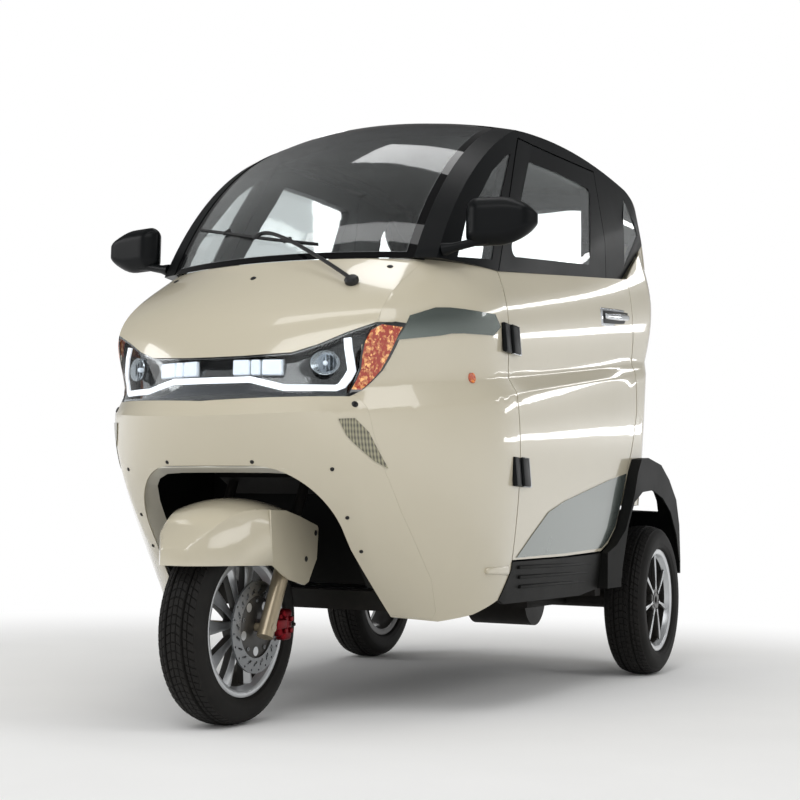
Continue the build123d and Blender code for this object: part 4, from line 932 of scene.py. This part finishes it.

# The return flange of the wheel arch and the small fixings: plastic rivets and capped screws that hold
# the nose, bonnet, arch flange and fender. The flange is moulded in one with the nose panel.
# Its lacquer is a paler, whiter copy of the cream pearl: painted light on the flange
lit_flange_paint = finish("pearl_lacquer_flange_painted_light", "D6D3C8", "E0DDD2", 0.35, 0.06, 0.01, 0.00005, dust=0.2,
                      **{"Coat Weight": 0.5})
ARCH_HALF = [(-306, 300), (-284, 423), (-280, 480), (-276, 540), (-262, 578), (-232, 603), (-190, 614),
             (-130, 616), (0, 616)]
ARCH_MIDDLE = 350
outer, inner = [], []
for x, z in ARCH_HALF + [(-x, z) for x, z in reversed(ARCH_HALF[:-1])]:
    # The nose's face just outside the arch, found by steps away from the arch's middle
    outwards = (face_y(x * (1 + s / 50), z + (z - ARCH_MIDDLE) * s / 50) for s in range(1, 20))
    front = next(y for y in outwards if y is not None)
    outer.append(place_of(x, front + 3, z))
    inner.append(place_of(x * 0.95, front + 62, z - (10 if abs(x) < 240 else 3)))
flange = sheet_through([outer, inner])
bmesh.ops.subdivide_edges(flange, edges=list(flange.edges), cuts=2, use_grid_fill=True, smooth=0.0)
bmesh.ops.recalc_face_normals(flange, faces=flange.faces)
bmesh.ops.solidify(flange, geom=list(flange.faces), thickness=PANEL_WALL)
finished(flange, "arch_flange", [lit_flange_paint], "body", "cream_paint", crease=45)

rivet_black = finish("black_nylon_rivet", "0A0A0B", "141415", 0.4, 0.08, 0.002, 0.0001)


def rivet(mesh, node, start, way, radius=6.0):
    """A round-headed rivet with a centre pin, set on a node's face where a line from start meets it"""
    spot, normal = sides_of(node).ray_cast(start, Vector(way).normalized())[:2]
    if not spot:
        raise RuntimeError("no face of " + node + " under the rivet")
    head = turned([(-1, 0), (-1, radius), (0.8, radius), (2.2, radius * 0.75), (2.6, radius * 0.45),
                   (1.8, radius * 0.4), (1.8, radius * 0.2), (2.8, radius * 0.15), (2.8, 0)], 20)
    joined(mesh, head, aimed(spot, normal), skin=0)


BONNET_RIVETS = [(-13, 85), (322, 188), (-322, 188)]
NOSE_RIVETS = [(342, 764, 8), (298, 500, 5), (304, 420, 5), (292, 612, 5), (120, 626, 5)]  # x, z, radius
rivets = bmesh.new()
for x, y in BONNET_RIVETS:
    rivet(rivets, "bonnet", place_of(x, y, 1600), (0, 0, -1), 8)
for way in (-1, 1):
    for x, z, radius in NOSE_RIVETS:
        rivet(rivets, "front_fascia", place_of(way * x, -1500, z), (0, 1, 0), radius)
finished(rivets, "panel_rivets", [rivet_black], "body", "black_plastic")
screws = bmesh.new()
for way in (-1, 1):
    for y, z in ((178, 461), (133, 397)):
        rivet(screws, "front_fender", place_of(way * 400, y, z), (-way, 0, 0), 7)
finished(screws, "fender_screws", [rivet_black], "steering", "black_plastic")

# Corner plates inside the rear quarters, where the side skin meets the tail below the belt line.
# Lacquered ABS like the quarter itself, bonded in from behind.
QUARTERS = sides_of("rear_quarter_panels")


def quarter_x(y, z):
    """How far out the quarter's face lies, in millimetres, seen from the side, with its small gaps bridged"""
    def probe(at):
        spot = QUARTERS.ray_cast(place_of(900, at, z), Vector((-1, 0, 0)))[0]
        return spot.x * 1000 if spot and spot.x > 0.3 else None
    return bridged(probe, y, range(0, 90, 2))


def belt_z(y):
    """The height of the quarter's upper edge, which rises towards the tail"""
    return 1314 + 0.677 * (y - 1600)


plates = bmesh.new()
for way in (-1, 1):
    sheet = sheet_through([[place_of(way * (quarter_x(y, min(z, belt_z(y) - 8)) - 1.2), y, min(z, belt_z(y) - 3))
                            for y in range(1796, 1885, 8)] for z in range(1400, 1491, 9)])
    bmesh.ops.remove_doubles(sheet, verts=sheet.verts, dist=1e-5)
    joined(plates, faced(sheet, (way, 0, 0), PANEL_WALL))
finished(plates, "quarter_corner_plates", [pearl], "body", "cream_paint")


# Sill treads and the small cream lip ahead of them: stepped ribs moulded along the black sill.
# Grained polypropylene and lacquered ABS, in one with their panels.
def side_spot(node, way, y, z):
    """The place on a node's face where a line from that side meets it"""
    return sides_of(node).ray_cast(place_of(way * 900, y, z), Vector((-way, 0, 0)))[0]


TREADS = [(378, 624), (352, 600), (326, 576)]  # the height and length of each rib
TREAD_MIDDLE = place_of(0, 895, 0).y
treads = bmesh.new()
lips = bmesh.new()
for way in (-1, 1):
    for z, length in TREADS:
        x = side_spot("sills", way, 900, z).x - way * 0.002
        rib = block((10, length, 9), 3)
        joined(treads, rib, Matrix.Translation((x, TREAD_MIDDLE, z / 1000)), skin=0)
    spot = side_spot("front_side_panels", way, 470, 372)
    lip = block((14, 120, 22), 6, 4)
    for vert in lip.verts:
        vert.co.z *= 1 + 0.3 * vert.co.y / 0.06
    joined(lips, lip, Matrix.Translation(Vector((spot.x - way * 0.003, spot.y, 0.372)))
           @ Matrix.Rotation(math.radians(-way * 5), 4, "Z"), skin=0)
finished(treads, "sill_treads", [grained], "body", "black_plastic")
finished(lips, "side_panel_lips", [pearl], "body", "cream_paint")
